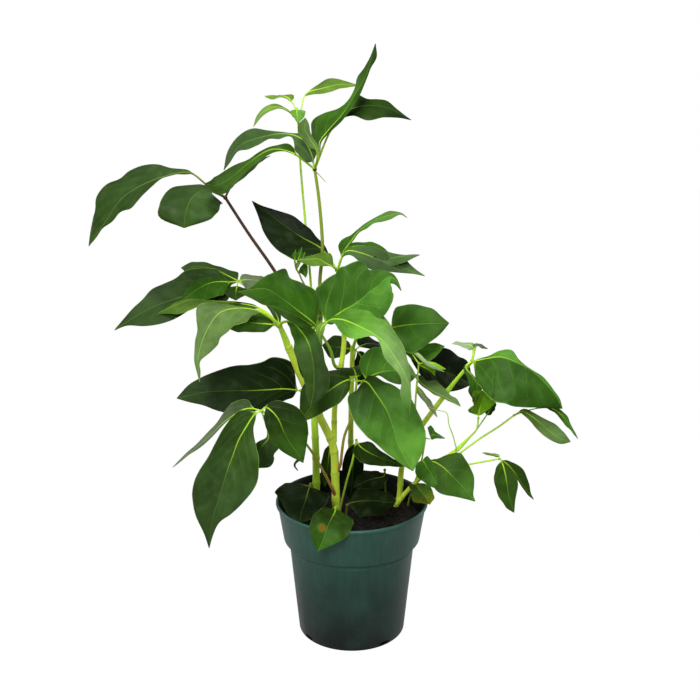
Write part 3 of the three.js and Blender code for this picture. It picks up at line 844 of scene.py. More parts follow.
# %% [markdown]
# ## The pot
# A nursery pot is moulded in one thin wall: a body that widens upwards, a step, a rim band that is wider
# than the body so that pots stack, and a rolled lip. A body of revolution is made by drawing half of its
# section once and spinning it round. The ring edges are then bevelled, because moulded plastic has no sharp
# corner to catch light.

# %% Pot
POT_STEPS = 128
POT_EDGE = 0.4
LIP_RADIUS = 82.5
BAND_TOP_RADIUS = 80.4
BAND_FOOT_RADIUS = 74.3
BODY_TOP_RADIUS = 68.4
BASE_RADIUS = 58.6
WALL = 1.5
POT_HEIGHT = 152
BAND_FOOT = 109
STEP_FOOT = 104
LIP_FOOT = 149
MOULD_LINE = 0.5
OUTLINE = [
    (0, 0),
    (BASE_RADIUS - 1, 0),
    (BASE_RADIUS, 1),
    (BODY_TOP_RADIUS - 0.5, STEP_FOOT - 4.5),
    (BODY_TOP_RADIUS - 0.4 + MOULD_LINE, STEP_FOOT - 3.8),
    (BODY_TOP_RADIUS - 0.3 + MOULD_LINE, STEP_FOOT - 2.6),
    (BODY_TOP_RADIUS - 0.2, STEP_FOOT - 1.9),
    (BODY_TOP_RADIUS, STEP_FOOT),
    (BAND_FOOT_RADIUS - 1, BAND_FOOT - 1),
    (BAND_FOOT_RADIUS, BAND_FOOT),
    (BAND_TOP_RADIUS, LIP_FOOT - 1),
    (LIP_RADIUS, LIP_FOOT),
    (LIP_RADIUS, POT_HEIGHT - 1),
    (LIP_RADIUS - 1, POT_HEIGHT),
    (BAND_TOP_RADIUS - WALL + 1, POT_HEIGHT),
    (BAND_TOP_RADIUS - WALL, LIP_FOOT),
    (BAND_FOOT_RADIUS - WALL, BAND_FOOT + 1),
    (BODY_TOP_RADIUS - WALL, STEP_FOOT + 1),
    (BASE_RADIUS - WALL, WALL + 2.5),
    (BASE_RADIUS - WALL - 2.5, WALL),
    (0, WALL),
]


def spun(bm, outline, steps):
    """Spins an outline of (radius, height) round the upright axis into one closed skin."""
    points = [bm.verts.new((radius, 0, height)) for radius, height in outline]
    edges = [bm.edges.new(pair) for pair in zip(points, points[1:])]
    bmesh.ops.spin(
        bm,
        geom=points + edges,
        cent=(0, 0, 0),
        axis=(0, 0, 1),
        angle=2 * math.pi,
        steps=steps,
        use_merge=True,
    )
    bmesh.ops.remove_doubles(bm, verts=bm.verts, dist=1e-4)
    bmesh.ops.dissolve_degenerate(bm, edges=bm.edges, dist=1e-4)
    bmesh.ops.recalc_face_normals(bm, faces=bm.faces)


def ring_edges(bm, least_angle):
    """The edges that run round, where the skin turns by more than an angle."""
    level = [e for e in bm.edges if abs(e.verts[0].co.z - e.verts[1].co.z) < 1e-4 and len(e.link_faces) == 2]
    return [e for e in level if e.calc_face_angle() > least_angle]


bm = new_mesh()
spun(bm, OUTLINE, POT_STEPS)
sharp = ring_edges(bm, math.radians(12))
bmesh.ops.bevel(
    bm, geom=sharp, offset=POT_EDGE, segments=2, profile=0.5, affect="EDGES", clamp_overlap=True, material=-1
)
pot_piece = write_piece(bm, "nursery_pot", [pot_plastic], "pot")
print("pot faces:", len(pot_piece.data.polygons))

# %% [markdown]
# Water leaves through flat oval openings low in the wall. A squashed cylinder is laid through the wall at
# each of them and taken away from the pot with a Boolean, whose result is written back to the pot's mesh.

# %% Drainage openings
DRAIN_COUNT = 4
DRAIN_HALF_WIDTH = 6.5
DRAIN_HALF_HEIGHT = 2
DRAIN_LEVEL = 3.4
DRAIN_LENGTH = 12
DRAIN_TURN = 37

cutter = bmesh.new()
for i in range(DRAIN_COUNT):
    turn = Matrix.Rotation(math.radians(DRAIN_TURN + 360 / DRAIN_COUNT * i), 4, "Z")
    oval = Matrix.Diagonal((1, 1, DRAIN_HALF_HEIGHT / DRAIN_HALF_WIDTH, 1))
    seat = turn @ Matrix.Translation((BASE_RADIUS * MM, 0, DRAIN_LEVEL * MM))
    bmesh.ops.create_cone(
        cutter,
        cap_ends=True,
        segments=32,
        radius1=DRAIN_HALF_WIDTH * MM,
        radius2=DRAIN_HALF_WIDTH * MM,
        depth=DRAIN_LENGTH * MM,
        matrix=seat @ oval @ Matrix.Rotation(math.pi / 2, 4, "Y"),
    )
cutter_mesh = bpy.data.meshes.new("drill")
cutter.to_mesh(cutter_mesh)
cutter.free()
drill = bpy.data.objects.new("drill", cutter_mesh)
bpy.context.scene.collection.objects.link(drill)
drilling = pot_piece.modifiers.new("drilling", "BOOLEAN")
drilling.object = drill
drilling.operation = "DIFFERENCE"
drilled = bpy.data.meshes.new_from_object(pot_piece.evaluated_get(bpy.context.evaluated_depsgraph_get()))
pot_piece.modifiers.clear()
pot_piece.data = drilled
bpy.data.objects.remove(drill)
drilled.set_sharp_from_angle(angle=math.radians(30))
print("pot faces with its openings:", len(drilled.polygons))

# %% [markdown]
# ## The soil
# The mix fills the pot to a finger's width below the rim. It is heaped a little in the middle and lumpy.
# The surface is spun in many rings and pushed up and down by two sizes of noise. Loose crumbs lie on it: a
# few hundred rough pebbles of few faces each, sunk to half their height, with a fixed seed so that they
# never move.

# %% Soil
SOIL_LEVEL = 129
SOIL_HEAP = 4
SOIL_LUMP = 1.6
LUMP_LENGTH = 35
SOIL_INSET = WALL + 0.7
SOIL_RINGS = 30
BAND_HEIGHT = LIP_FOOT - 1 - BAND_FOOT
BAND_WIDENING = BAND_TOP_RADIUS - BAND_FOOT_RADIUS
SOIL_EDGE = BAND_FOOT_RADIUS + BAND_WIDENING * (SOIL_LEVEL - BAND_FOOT) / BAND_HEIGHT - SOIL_INSET
CRUMBS = 1500


def soil_height(x, y):
    """The height of the soil's surface in mm."""
    out = min(1.0, math.hypot(x, y) / BAND_FOOT_RADIUS)
    turn = 2 * math.pi / LUMP_LENGTH
    lump = math.sin(x * turn) * math.cos(y * turn + x * turn / 3)
    rough = noise.noise(Vector((x, y, 0)) / 7) * 1.6 + noise.noise(Vector((x, y, 40)) / 2.6) * 0.9
    return SOIL_LEVEL + SOIL_HEAP * math.cos(math.pi / 2 * out) + SOIL_LUMP * lump + rough * (1 - out**8)


bm = new_mesh()
soil_outline = [
    (0, WALL + 0.3),
    (BASE_RADIUS - SOIL_INSET - 2.5, WALL + 0.3),
    (BASE_RADIUS - SOIL_INSET, WALL + 2.8),
    (BODY_TOP_RADIUS - SOIL_INSET, STEP_FOOT + 1),
    (BAND_FOOT_RADIUS - SOIL_INSET, BAND_FOOT + 2),
    *((SOIL_EDGE * (1 - i / SOIL_RINGS), SOIL_LEVEL) for i in range(SOIL_RINGS + 1)),
]
spun(bm, soil_outline, 96)
tone = bm.verts.layers.float["tone"]
for v in bm.verts:
    if v.co.z > SOIL_LEVEL - 0.01:
        v.co.z = soil_height(v.co.x, v.co.y)
        v[tone] = 0.25 + 0.5 * noise.noise(v.co / 3)

dice = random.Random(11)
for _ in range(CRUMBS):
    out, turn = math.sqrt(dice.random()) * (SOIL_EDGE - 1.5), dice.uniform(0, 2 * math.pi)
    x, y = out * math.cos(turn), out * math.sin(turn)
    size = 0.5 + 1.5 * dice.random() ** 3
    stretch = Matrix.Diagonal((dice.uniform(0.7, 1.7), dice.uniform(0.7, 1.1), dice.uniform(0.5, 0.9), 1))
    spin = Matrix.Rotation(dice.uniform(0, math.pi), 4, "Z")
    spin = spin @ Matrix.Rotation(dice.uniform(-0.5, 0.5), 4, "X")
    place = Matrix.Translation((x, y, soil_height(x, y) + size * 0.1)) @ spin @ stretch
    crumb = bmesh.ops.create_icosphere(bm, subdivisions=1, radius=size, matrix=place)["verts"]
    shade = dice.random() ** 2
    for v in crumb:
        v.co += (v.co - place.translation) * dice.uniform(-0.25, 0.25)
        v[tone] = 0.15 + shade
soil_piece = write_piece(bm, "potting_mix", [potting_soil], "soil")
print("soil faces:", len(soil_piece.data.polygons))

# %% [markdown]
# ## The stems
# Five stout shoots stand in the soil. They are a light green, swell a little at each node, and carry a thin
# brown ring there, where a leaf or its sheath has dropped. The main stem forks low down. Every stem is a
# row: its route, its diameters at foot and top, how far up its rings sit, and its greens.


# %% Stems
def stem(route, across, rings, green="stem", tip="stem", fork=None):
    return {"route": route, "across": across, "rings": rings, "green": green, "tip": tip, "fork": fork}


STEMS = {
    "stem_main": stem(
        [(-16, 11, 100), (-17, 10, 136), (-18, 8, 173), (-19, 5, 204), (-22, 3, 218), (-35, 0, 248),
         (-50, -5, 285), (-66, -14, 329)],
        (9.4, 7.6),
        (48, 78, 104, 121, 152, 176, 207, 236),
        fork=stem(
            [(-19, 5, 216), (-18, 8, 257), (-12, 10, 295), (-8, 12, 330), (-11, 12, 371)],
            (6, 5),
            (22, 60, 84, 118),
        ),
    ),
    "stem_back_left": stem(
        [(-36, 46, 100), (-40, 49, 134), (-40, 45, 153), (-40, 40, 190), (-41, 34, 234), (-41, 30, 272),
         (-36, 18, 315), (-33, 10, 356)],
        (9, 6),
        (52, 84, 110, 138, 172, 204, 238),
        green="shoot",
        tip="shoot",
    ),
    "stem_back": stem(
        [(0, 58, 100), (0, 60, 136), (-1, 60, 179), (-1, 58, 210), (0, 52, 277), (1, 48, 311)],
        (7, 5),
        (58, 96, 140, 180),
        green="olive",
        tip="stem",
    ),
    "stem_right": stem(
        [(46, 40, 100), (54, 45, 134), (56, 42, 170), (62, 36, 200), (79, 25, 231), (104, 8, 275)],
        (7, 5),
        (50, 84, 120, 160),
    ),
    "stem_low_right": stem(
        [(42, 24, 100), (50, 24, 133), (72, 16, 166), (91, 0, 192), (108, -10, 210)],
        (6, 4),
        (46, 80, 108),
    ),
}
for node, row in STEMS.items():
    bm = new_mesh()
    for part in filter(None, (row, row["fork"])):
        add_stalk(
            bm,
            part["route"],
            part["across"],
            STALKS[part["green"]],
            STALKS[part["tip"]],
            rings=part["rings"],
            sides=24,
        )
    piece = write_piece(bm, node + "_skin", [stem_skin], node)
    print(piece.name, len(piece.data.polygons), "faces")

# %% [markdown]
# ## The leaves
# Each leaf is one petiole with three to five leaflets that meet in a hub, a small swollen knuckle. Leaves
# are never alike, so each one is a row that is written out. A leaflet that the photograph shows is written
# down as it was read there. Every point of its midrib is a pixel and a depth behind the pot's middle, and
# the camera's sight line through the pixel turns both into a place in millimetres. The margins at its right
# and left are pixels alone. The photograph is 700 pixels wide, and the focal length that was measured on
# the pot's rim and foot is given in pixels too.

# %% Reading the photograph
PHOTO_MIDDLE = 350
PHOTO_FOCUS = 1041.2


def placed(u, v, depth):
    """The place in whole mm that the camera sees at a pixel, at a depth in mm behind the pot's middle."""
    across, rise = (u - PHOTO_MIDDLE) / PHOTO_FOCUS, (PHOTO_MIDDLE - v) / PHOTO_FOCUS
    ahead = math.cos(TILT_DOWN) + math.sin(TILT_DOWN) * rise
    up = math.cos(TILT_DOWN) * rise - math.sin(TILT_DOWN)
    reach = (depth - EYE_MM[1]) / ahead
    return (round(EYE_MM[0] + across * reach), round(depth), round(EYE_MM[2] + up * reach))


def pixel_of(point):
    """The pixel at which the camera sees a place in mm."""
    across, back, height = (value - start for value, start in zip(point, EYE_MM))
    distance = back * math.cos(TILT_DOWN) - height * math.sin(TILT_DOWN)
    up = back * math.sin(TILT_DOWN) + height * math.cos(TILT_DOWN)
    return (PHOTO_MIDDLE + PHOTO_FOCUS * across / distance, PHOTO_MIDDLE - PHOTO_FOCUS * up / distance)


print("the middle of the pot's foot is at the pixel", [round(value) for value in pixel_of((0, 0, 0))])

# %% [markdown]
# The half widths of such a blade follow from its margins. At each stop along the midrib the blade's frame
# says which way is sideways. A line goes that way in the picture, and the first place where it meets the
# margin gives the half width there. Where it misses the margin, the mean of the stops beside it is taken,
# or a sliver's width.

# %% Half widths from a margin
STOPS = 7
SLIVER = 2
PARALLEL = 1e-9
PAST_END = 1e-6


def steps_to_margin(start, step, margin):
    """How many steps lead from a pixel to the nearest crossing of a line of pixels, or None without one."""
    crossings = []
    for (u, v), (next_u, next_v) in zip(margin, margin[1:]):
        edge = (next_u - u, next_v - v)
        turn = step[0] * edge[1] - step[1] * edge[0]
        if abs(turn) < PARALLEL:
            continue
        steps = ((u - start[0]) * edge[1] - (v - start[1]) * edge[0]) / turn
        place = ((u - start[0]) * step[1] - (v - start[1]) * step[0]) / turn
        if -PAST_END <= place <= 1 + PAST_END and steps > 0:
            crossings.append(steps)
    return min(crossings, default=None)


def read_widths(rib, side, margin, row):
    """Half widths in whole mm at even stops along a midrib, from a margin that was read as pixels."""
    widths, stops = [], row.get("stops", STOPS)
    for share in (i / (stops + 1) for i in range(1, stops + 1)):
        centre, up, sideways = rib.frame(rib.start + (1 - rib.start) * share)
        fold = math.radians(along(row.get("fold", FOLD), share))
        start = pixel_of(centre)
        end = pixel_of(centre + sideways * (side * math.cos(fold)) + up * math.sin(fold))
        steps = steps_to_margin(start, (end[0] - start[0], end[1] - start[1]), margin)
        widths.append(steps and round(steps))
    for i, width in enumerate(widths):
        if width is None:
            beside = (*widths[max(0, i - 1) : i], *widths[i + 1 : i + 2])
            found = [value for value in beside if value is not None] or [SLIVER]
            widths[i] = round(sum(found) / len(found))
    return tuple(widths)


print("stops along a blade, unless its row says otherwise:", STOPS)

# %% [markdown]
# A row goes on with its rough width, which sets how many faces lie across the blade, its stalk's length, the
# way that its upper side looks, and its tone from base to tip. Then come how light its two halves are, how
# clear its side veins are, how it folds or rolls, the tint of its stalk, and a base of its own where it
# doesn't spring from the hub. Leaflets that others hide, some small ones, and three margins that came out
# too narrow or too wide are written in millimetres, like the petioles. Threads are bare stalks and tendrils.

# %% Rows of the table
LEAVES = {}


def leaflet(middle, tip, width, stalk, looks, tone, **form):
    """A row of the table: mm, and the way that the upper side looks."""
    row = {"middle": middle, "tip": tip, "width": width, "stalk": stalk, "looks": looks, "tone": tone}
    return {**row, **form}


def seen(rib, width, stalk, looks, tone, **form):
    """A row whose midrib was read off the photograph, as pixels with depths."""
    *middle, tip = [placed(*reading) for reading in rib]
    return leaflet(middle, tip, width, stalk, looks, tone, **form)


def with_widths(hub, row):
    """The row with half widths in mm, where it holds the pixels of its margins in a list."""
    found = {}
    for name, side in (("right", 1), ("left", -1)):
        if isinstance(row.get(name), list):
            found[name] = read_widths(Midrib(hub, row), side, row[name], row)
    return {**row, **found}


def leaf(petiole, across, *leaflets, foot="green", skin="green", hub=None, threads=()):
    """A leaf: the petiole's route, its diameters at both ends, its leaflets and the tints of its stalks."""
    leaflets = [with_widths(petiole[-1], row) for row in leaflets]
    row = {"petiole": petiole, "across": across, "leaflets": leaflets, "foot": foot, "skin": skin}
    return {**row, "hub": hub, "threads": threads}


print("rows are dictionaries with", len(leaf([], (1, 1))), "entries")

# %% [markdown]
# The crown and the young top stand highest. The crown's petiole is green and its hub is brown.

# %% Leaves at the top
LEAVES["leaf_crown"] = leaf(
    [(-33, 10, 350), (-33, 9, 368), (-33, 8, 393), (-30, 4, 426), (-33, 2, 476), (-37, 0, 507)], (4.2, 3),
    seen(
        [(320, 150, 4), (320, 142, 4), (331, 128, 8), (343, 114, 12), (356, 93, 14), (366, 75, 15),
        (375, 44, 16)], 35, 18, (-7, -5, 3), ("dusk", "mid", "dusk"), skin="green", fold=0,
        halves=(1.1, 0.7), stops=9,
        right=[(321, 142), (328, 134), (338, 125), (349, 112), (358, 98), (364, 88), (368, 76), (371, 68),
        (378, 61), (376, 56), (376, 50), (375, 44)],
        left=(22, 38, 27, 12, 6, 7, 14, 9, 3),
    ),
    seen(
        [(331, 130, 18), (345, 112, 24), (365, 106, 28), (387, 108, 32), (411, 120, 34)], 36, 46,
        (1, -7, 9), ("shade", "dusk", "shade"), skin="green", halves=(1.1, 0.8), stops=9,
        right=[(345, 113), (352, 114), (359, 118), (370, 119), (382, 118), (392, 117), (402, 118),
        (411, 120)],
        left=[(345, 109), (352, 97), (356, 94), (361, 94), (366, 98), (372, 99), (380, 99), (386, 99),
        (390, 103), (395, 107), (404, 115), (411, 120)],
    ),
    seen(
        [(310, 152, -8), (302, 139, -8), (286, 134, -4), (264, 136, 2), (240, 146, 8), (224, 170, 12)], 24,
        8, (-1, -8, 8), ("grey", "grey", "dark"), skin="green", roll=(0, 0, -30, 0, 0), stops=9,
        right=[(316, 160), (318, 148), (314, 136), (300, 134), (285, 132), (272, 132), (265, 129),
        (255, 128), (245, 131), (235, 138), (228, 148), (225, 158), (224, 168)],
        left=[(311, 164), (298, 155), (293, 145), (292, 137), (280, 139), (270, 138), (260, 144),
        (250, 149), (240, 150), (232, 155), (227, 158), (224, 170)],
    ),
    seen(
        [(317.5, 158, -12), (316, 149, -12), (310, 138, -12), (305, 128, -14), (305.5, 118, -16)], 12, 20,
        (0, -8, 2), "pale", roll=0,
        right=[(318, 150), (317, 144), (313, 138), (310, 130), (309, 122), (305.5, 118)],
        left=[(316, 151), (309, 147.5), (305, 143), (301, 138), (298, 134), (297.5, 127), (299, 123),
        (305.5, 118)],
    ),
    seen(
        [(303, 160, -10), (291, 152, -14), (272, 150, -20), (252, 161, -28), (232, 177, -36),
        (216, 186, -42), (204, 184, -46)], 25, 26, (-1, -7, 9), ("deep", "deep", "dusk"), skin="green",
        halves=(1.05, 0.9), stops=9,
        right=[(290, 150), (288, 143), (280, 143), (270, 147), (260, 150), (250, 158), (240, 163),
        (225, 170), (210, 180), (204, 184)],
        left=[(290, 152), (283, 151), (275, 152), (265, 157), (255, 164), (245, 173), (238, 179),
        (232, 187), (228, 192), (222, 195), (215, 193), (208, 189), (204, 184)],
    ),
    foot="olive", skin="leafy", hub="brown",
    threads=[
        ([(-35, -1, 504), (-31, -3, 500), (-26, -6, 495)], (0.9, 0.5), "olive"),
    ],
)
LEAVES["leaf_young_top"] = leaf(
    [(-37, 20, 310), (-41, 32, 337), (-43, 44, 364), (-45, 60, 386), (-50, 66, 446), (-54, 56, 509),
    (-55, 44, 551)], (3, 2.2),
    seen(
        [(301, 110, 46), (306, 94, 52), (322, 89, 56), (340, 85, 60), (361, 86, 62)], 19, 26, (0, -7, 8),
        "young", halves=(0.65, 0.85),
        right=[(306, 95), (318, 94), (330, 92), (342, 88), (352, 87), (361, 86)],
        left=[(306, 93), (315, 86), (325, 80), (334, 77), (342, 79), (350, 82), (361, 86)],
    ),
    leaflet(
        [(-63, 34, 561), (-77, 26, 566), (-90, 18, 560)], (-98, 12, 548), 12, 12, (0, -6, 9),
        ("pale", "young", "pale"), right=(3, 5, 6, 5, 4, 3, 2), left=(2, 3, 4, 5, 4, 3, 2),
    ),
    leaflet(
        [(-59, 50, 566), (-68, 56, 575), (-80, 66, 574)], (-91, 74, 575), 12, 22, (0, -7, 9), "young",
        right=(7, 4, 2, 3, 3, 3, 2), left=(2, 3, 3, 4, 5, 4, 3), halves=(1, 0.8),
    ),
    seen(
        [(297.2, 112, 40), (297.5, 122.5, 36)], 16, 2, (0, -9, 2), "bright", base=(-56, 42, 565), stops=5,
        right=[(297, 110), (293, 106.5), (289, 109.5), (291, 114), (295, 120), (297.4, 122.4)],
        left=[(297, 110), (299, 106), (303, 105.5), (306, 110), (304, 117), (301, 121), (297.7, 122.4)],
    ),
)
LEAVES["leaf_upper_left"] = leaf(
    [(-40, 30, 290), (-45, 20, 318), (-51, 5, 346), (-62, 4, 371), (-79, 0, 404), (-104, -4, 443),
    (-126, -8, 480)], (4, 3),
    seen(
        [(206, 185, -10), (190, 173, -14), (165, 176, -18), (140, 186, -24), (121, 200, -30),
        (106, 222, -36), (89, 246, -40)], 48, 38, (-3, -7, 8), ("dark", "dark", "dusk"), skin="olive",
        fold=4, halves=(0.9, 1), stops=11,
        right=[(190, 172), (180, 168), (172, 168), (160, 164), (150, 161), (140, 162), (130, 168),
        (120, 178), (112, 184), (103, 185), (96, 187), (95, 193), (97, 205), (93, 215), (90, 228),
        (88, 235), (89, 246)],
        left=[(190, 174), (180, 174), (170, 175), (160, 179), (150, 188), (140, 199), (133, 206),
        (125, 210), (120, 211), (116, 218), (111, 222), (107, 227), (103, 228), (98, 231), (93, 238),
        (89, 246)],
    ),
    seen(
        [(216, 193, -12), (205, 190, -18), (192, 198, -34), (186, 212, -50), (184, 228, -60)], 56, 6,
        (-1, -8, 5), ("dark", "dark", "dusk"), fold=4, halves=(1.15, 0.95),
        right=[(210, 187), (195, 183), (182, 183), (172, 187), (164, 193), (159, 203), (159, 214),
        (162, 224), (168, 231), (175, 234), (179, 232), (182, 227), (184, 227)],
        left=[(212, 192), (217, 194), (222, 199), (221, 205), (217, 212), (210, 218), (205, 225),
        (200, 230), (193, 232), (187, 231), (184, 228)],
    ),
    leaflet((-111, 26, 501), (-86, 66, 514), 22, 14, (0, 2, 10), "dusk"),
    foot="brown", skin="brown", hub="brown",
)
LEAVES["leaf_centre_high"] = leaf(
    [(-11, 12, 366), (-13, 11, 386), (-15, 10, 403)], (4, 3.4),
    seen(
        [(344, 251, 2), (352, 240, -6), (359, 231, -10), (373, 221, -16), (390, 214.5, -22),
        (401, 213, -26), (407, 217.5, -28)], 12, 16, (0, -8, 6), ("fresh", "fresh", "pale"),
        halves=(0.9, 1), stops=9,
        right=[(345, 252), (348, 248), (353.5, 241), (359, 233), (365.4, 230.3), (371, 225.7),
        (375.5, 222.3), (383.7, 221.5), (390, 219.4), (396.3, 215.8), (402, 214.5), (406, 218),
        (407, 218)],
        left=[(343, 252), (337, 246), (339, 242), (345, 238), (353, 234), (357, 230), (363, 224.6),
        (370, 220.6), (376, 216.6), (383, 212.6), (391, 210.9), (397.4, 211.8), (403, 213.7), (407, 217)],
    ),
    seen(
        [(347, 251, -8), (362, 253, -14), (378, 259, -20), (398, 266, -26), (425, 276, -34)], 24, 20,
        (0, -8, 6), ("grey", "dark", "grey"), halves=(1.1, 0.95), stops=9,
        right=[(347, 252), (351.7, 256), (360.9, 262.3), (367.7, 267.4), (374.6, 270.5), (385, 271.4),
        (393, 272.6), (403, 272.8), (413, 274), (425, 276.5)],
        left=[(347, 249), (352.3, 247.4), (360.9, 245), (368, 246), (376, 247), (385, 251.4), (395, 253.7),
        (405.4, 255.6), (408, 262), (414.6, 268.6), (421, 273), (425, 276)],
    ),
    seen(
        [(346, 250, 16), (358, 246, 22), (372, 247, 26), (388, 252, 30)], 25, 16, (0, -6, 9),
        ("dusk", "mid", "mid"), halves=(1, 0.8), stops=5,
        right=[(348, 254), (362, 255), (375, 256), (388, 253)],
        left=[(348, 246), (352.3, 242.3), (362, 242.6), (371, 240.9), (377, 244.6), (384, 244.9),
        (387, 249), (388, 251)],
    ),
    seen(
        [(322, 249, 24), (300, 237, 38), (276, 220, 50), (252, 201, 62)], 42, 8, (4, -8, 5),
        ("shade", "black", "black"), halves=(1.25, 0.6), stops=9,
        right=[(322, 245), (318, 238), (308, 226), (295, 217), (280, 211), (265, 207), (252, 201)],
        left=(22, 26, 33, 33, 31, 28, 22, 14, 7),
    ),
    seen(
        [(331, 266, -2), (326, 263, -6), (318, 259, -12), (308, 258.5, -18), (297, 260, -24)], 16, 12,
        (0, -8, 6), "young", halves=(0.95, 0.9), stops=5,
        right=[(331, 257), (330.5, 252.6), (322, 252), (312.9, 254.9), (300.3, 257.5), (297.4, 260)],
        left=[(330, 264), (327.7, 266.3), (320.3, 266.5), (311, 265.7), (303, 263.5), (297, 260)],
    ),
    seen(
        [(388, 258, -20), (402, 256.5, -24), (419.5, 255.3, -28)], 16, 2, (0, -8, 6), "grey", skin="dark",
        base=(22, -18, 422), stops=5,
        right=[(374, 264), (388, 266), (400, 264), (408, 261), (414, 258), (419.5, 255.5)],
        left=[(374, 246), (385, 251), (395, 253.4), (405, 254.6), (414, 254.4), (419.5, 255)],
    ),
    foot="brown",
)
print("leaves so far:", len(LEAVES))

# %% [markdown]
# These are the largest and lightest leaves, and they hide the fork of the main stem.

# %% Leaves in the middle
LEAVES["leaf_centre"] = leaf(
    [(-12, 10, 296), (-18, -2, 304), (-22, -18, 325), (-34, -38, 353)], (3.6, 2.6),
    seen(
        [(343, 311, -48), (353, 305, -54), (363, 298, -60), (370, 291, -64), (379, 285, -68),
        (386, 279, -70), (392, 277, -71), (397, 281, -73), (401.5, 290.5, -75)], 64, 10, (0, -10, 6),
        "fresh", halves=(0.75, 1.1), veins=0.5, stops=11,
        right=(6, 6, 12, 17, 22, 27, 30, 28, 19, 10, 4),
        left=[(329, 314), (324, 304), (320, 295), (318, 288), (319.5, 284), (325, 279), (331, 275.5),
        (336, 272.5), (343, 266), (350, 262), (357, 261.2), (363, 262.5), (368, 267), (374, 271),
        (380, 270.5), (386, 271), (392, 273), (396, 277), (399, 283), (401.5, 290.5)],
    ),
    seen(
        [(325, 324, -46), (332, 319.5, -52), (342, 320, -60), (351, 322.7, -68), (370, 332, -84),
        (384, 342, -94), (395, 358, -102), (404, 373, -108), (410, 392, -112), (408.6, 415, -114)], 37, 16,
        (0, -8, 6), ("fresh", "bright", "whitish", "fresh"), halves=(0.85, 1.05), stops=11,
        right=[(332, 321), (335.3, 326), (340.9, 332.5), (348.3, 337.1), (357.6, 339), (366.9, 337.6),
        (372.4, 335.7), (377, 337.3), (379.9, 342.7), (381.7, 350), (384.5, 357.6), (390, 364),
        (396.6, 371.5), (401.7, 375.2), (400.3, 380.8), (399.8, 389), (402, 403), (406.8, 411.4),
        (408.6, 415)],
        left=[(332, 318), (335.3, 315.8), (343.6, 310.7), (352, 307.4), (359.4, 304.6), (368.7, 307),
        (377, 311), (383.6, 315.8), (388.2, 320.4), (392.9, 327.9), (397.5, 336.2), (403, 342.7),
        (406.3, 350), (407.7, 358.5), (408.6, 365), (410.5, 374.3), (411, 380), (410.7, 389),
        (411.4, 397.5), (411, 404), (408.6, 415)],
    ),
    seen(
        [(312, 322, -50), (300, 312, -58), (284, 300, -68), (266, 289, -80), (237.5, 292, -92)], 42, 6,
        (0, -8, 8), ("mid", "mid", "deep"), halves=(0.95, 1.05), stops=9,
        right=[(316, 320), (318.5, 305), (318, 290), (312, 284.5), (305, 282), (295, 279), (288.8, 276),
        (286.4, 269), (281, 268), (272.8, 272.8), (264.7, 277.5), (257.9, 281), (250, 289), (243, 291),
        (237.5, 292)],
        left=[(312, 324), (305, 319), (295, 313.5), (288, 308.5), (275.5, 305.8), (266, 304.7),
        (257, 300.8), (247, 296), (237.5, 292.5)],
    ),
    leaflet(
        (-43, -28, 333), (-35, -22, 275), 30, 10, (-3, -10, 1), ("shade", "dusk", "dusk"),
        halves=(0.55, 0.85),
    ),
    leaflet(
        [(-42, -42, 359), (-52, -40, 365), (-62, -38, 370), (-72, -34, 373)], (-82, -30, 375), 22, 6,
        (0, -8, 6), ("deep", "mid", "deep"), right=(5, 8, 9, 8, 7, 5, 2), left=(7, 9, 9, 9, 8, 5, 2),
    ),
    leaflet(
        [(-28, -48, 360), (-31, -50, 356), (-32, -50, 348)], (-30, -50, 338), 8, 1, (0, -8, 3), "young",
        base=(-22, -46, 363), right=(2, 4, 4, 3, 2), left=(2, 4, 4, 3, 2),
    ),
)
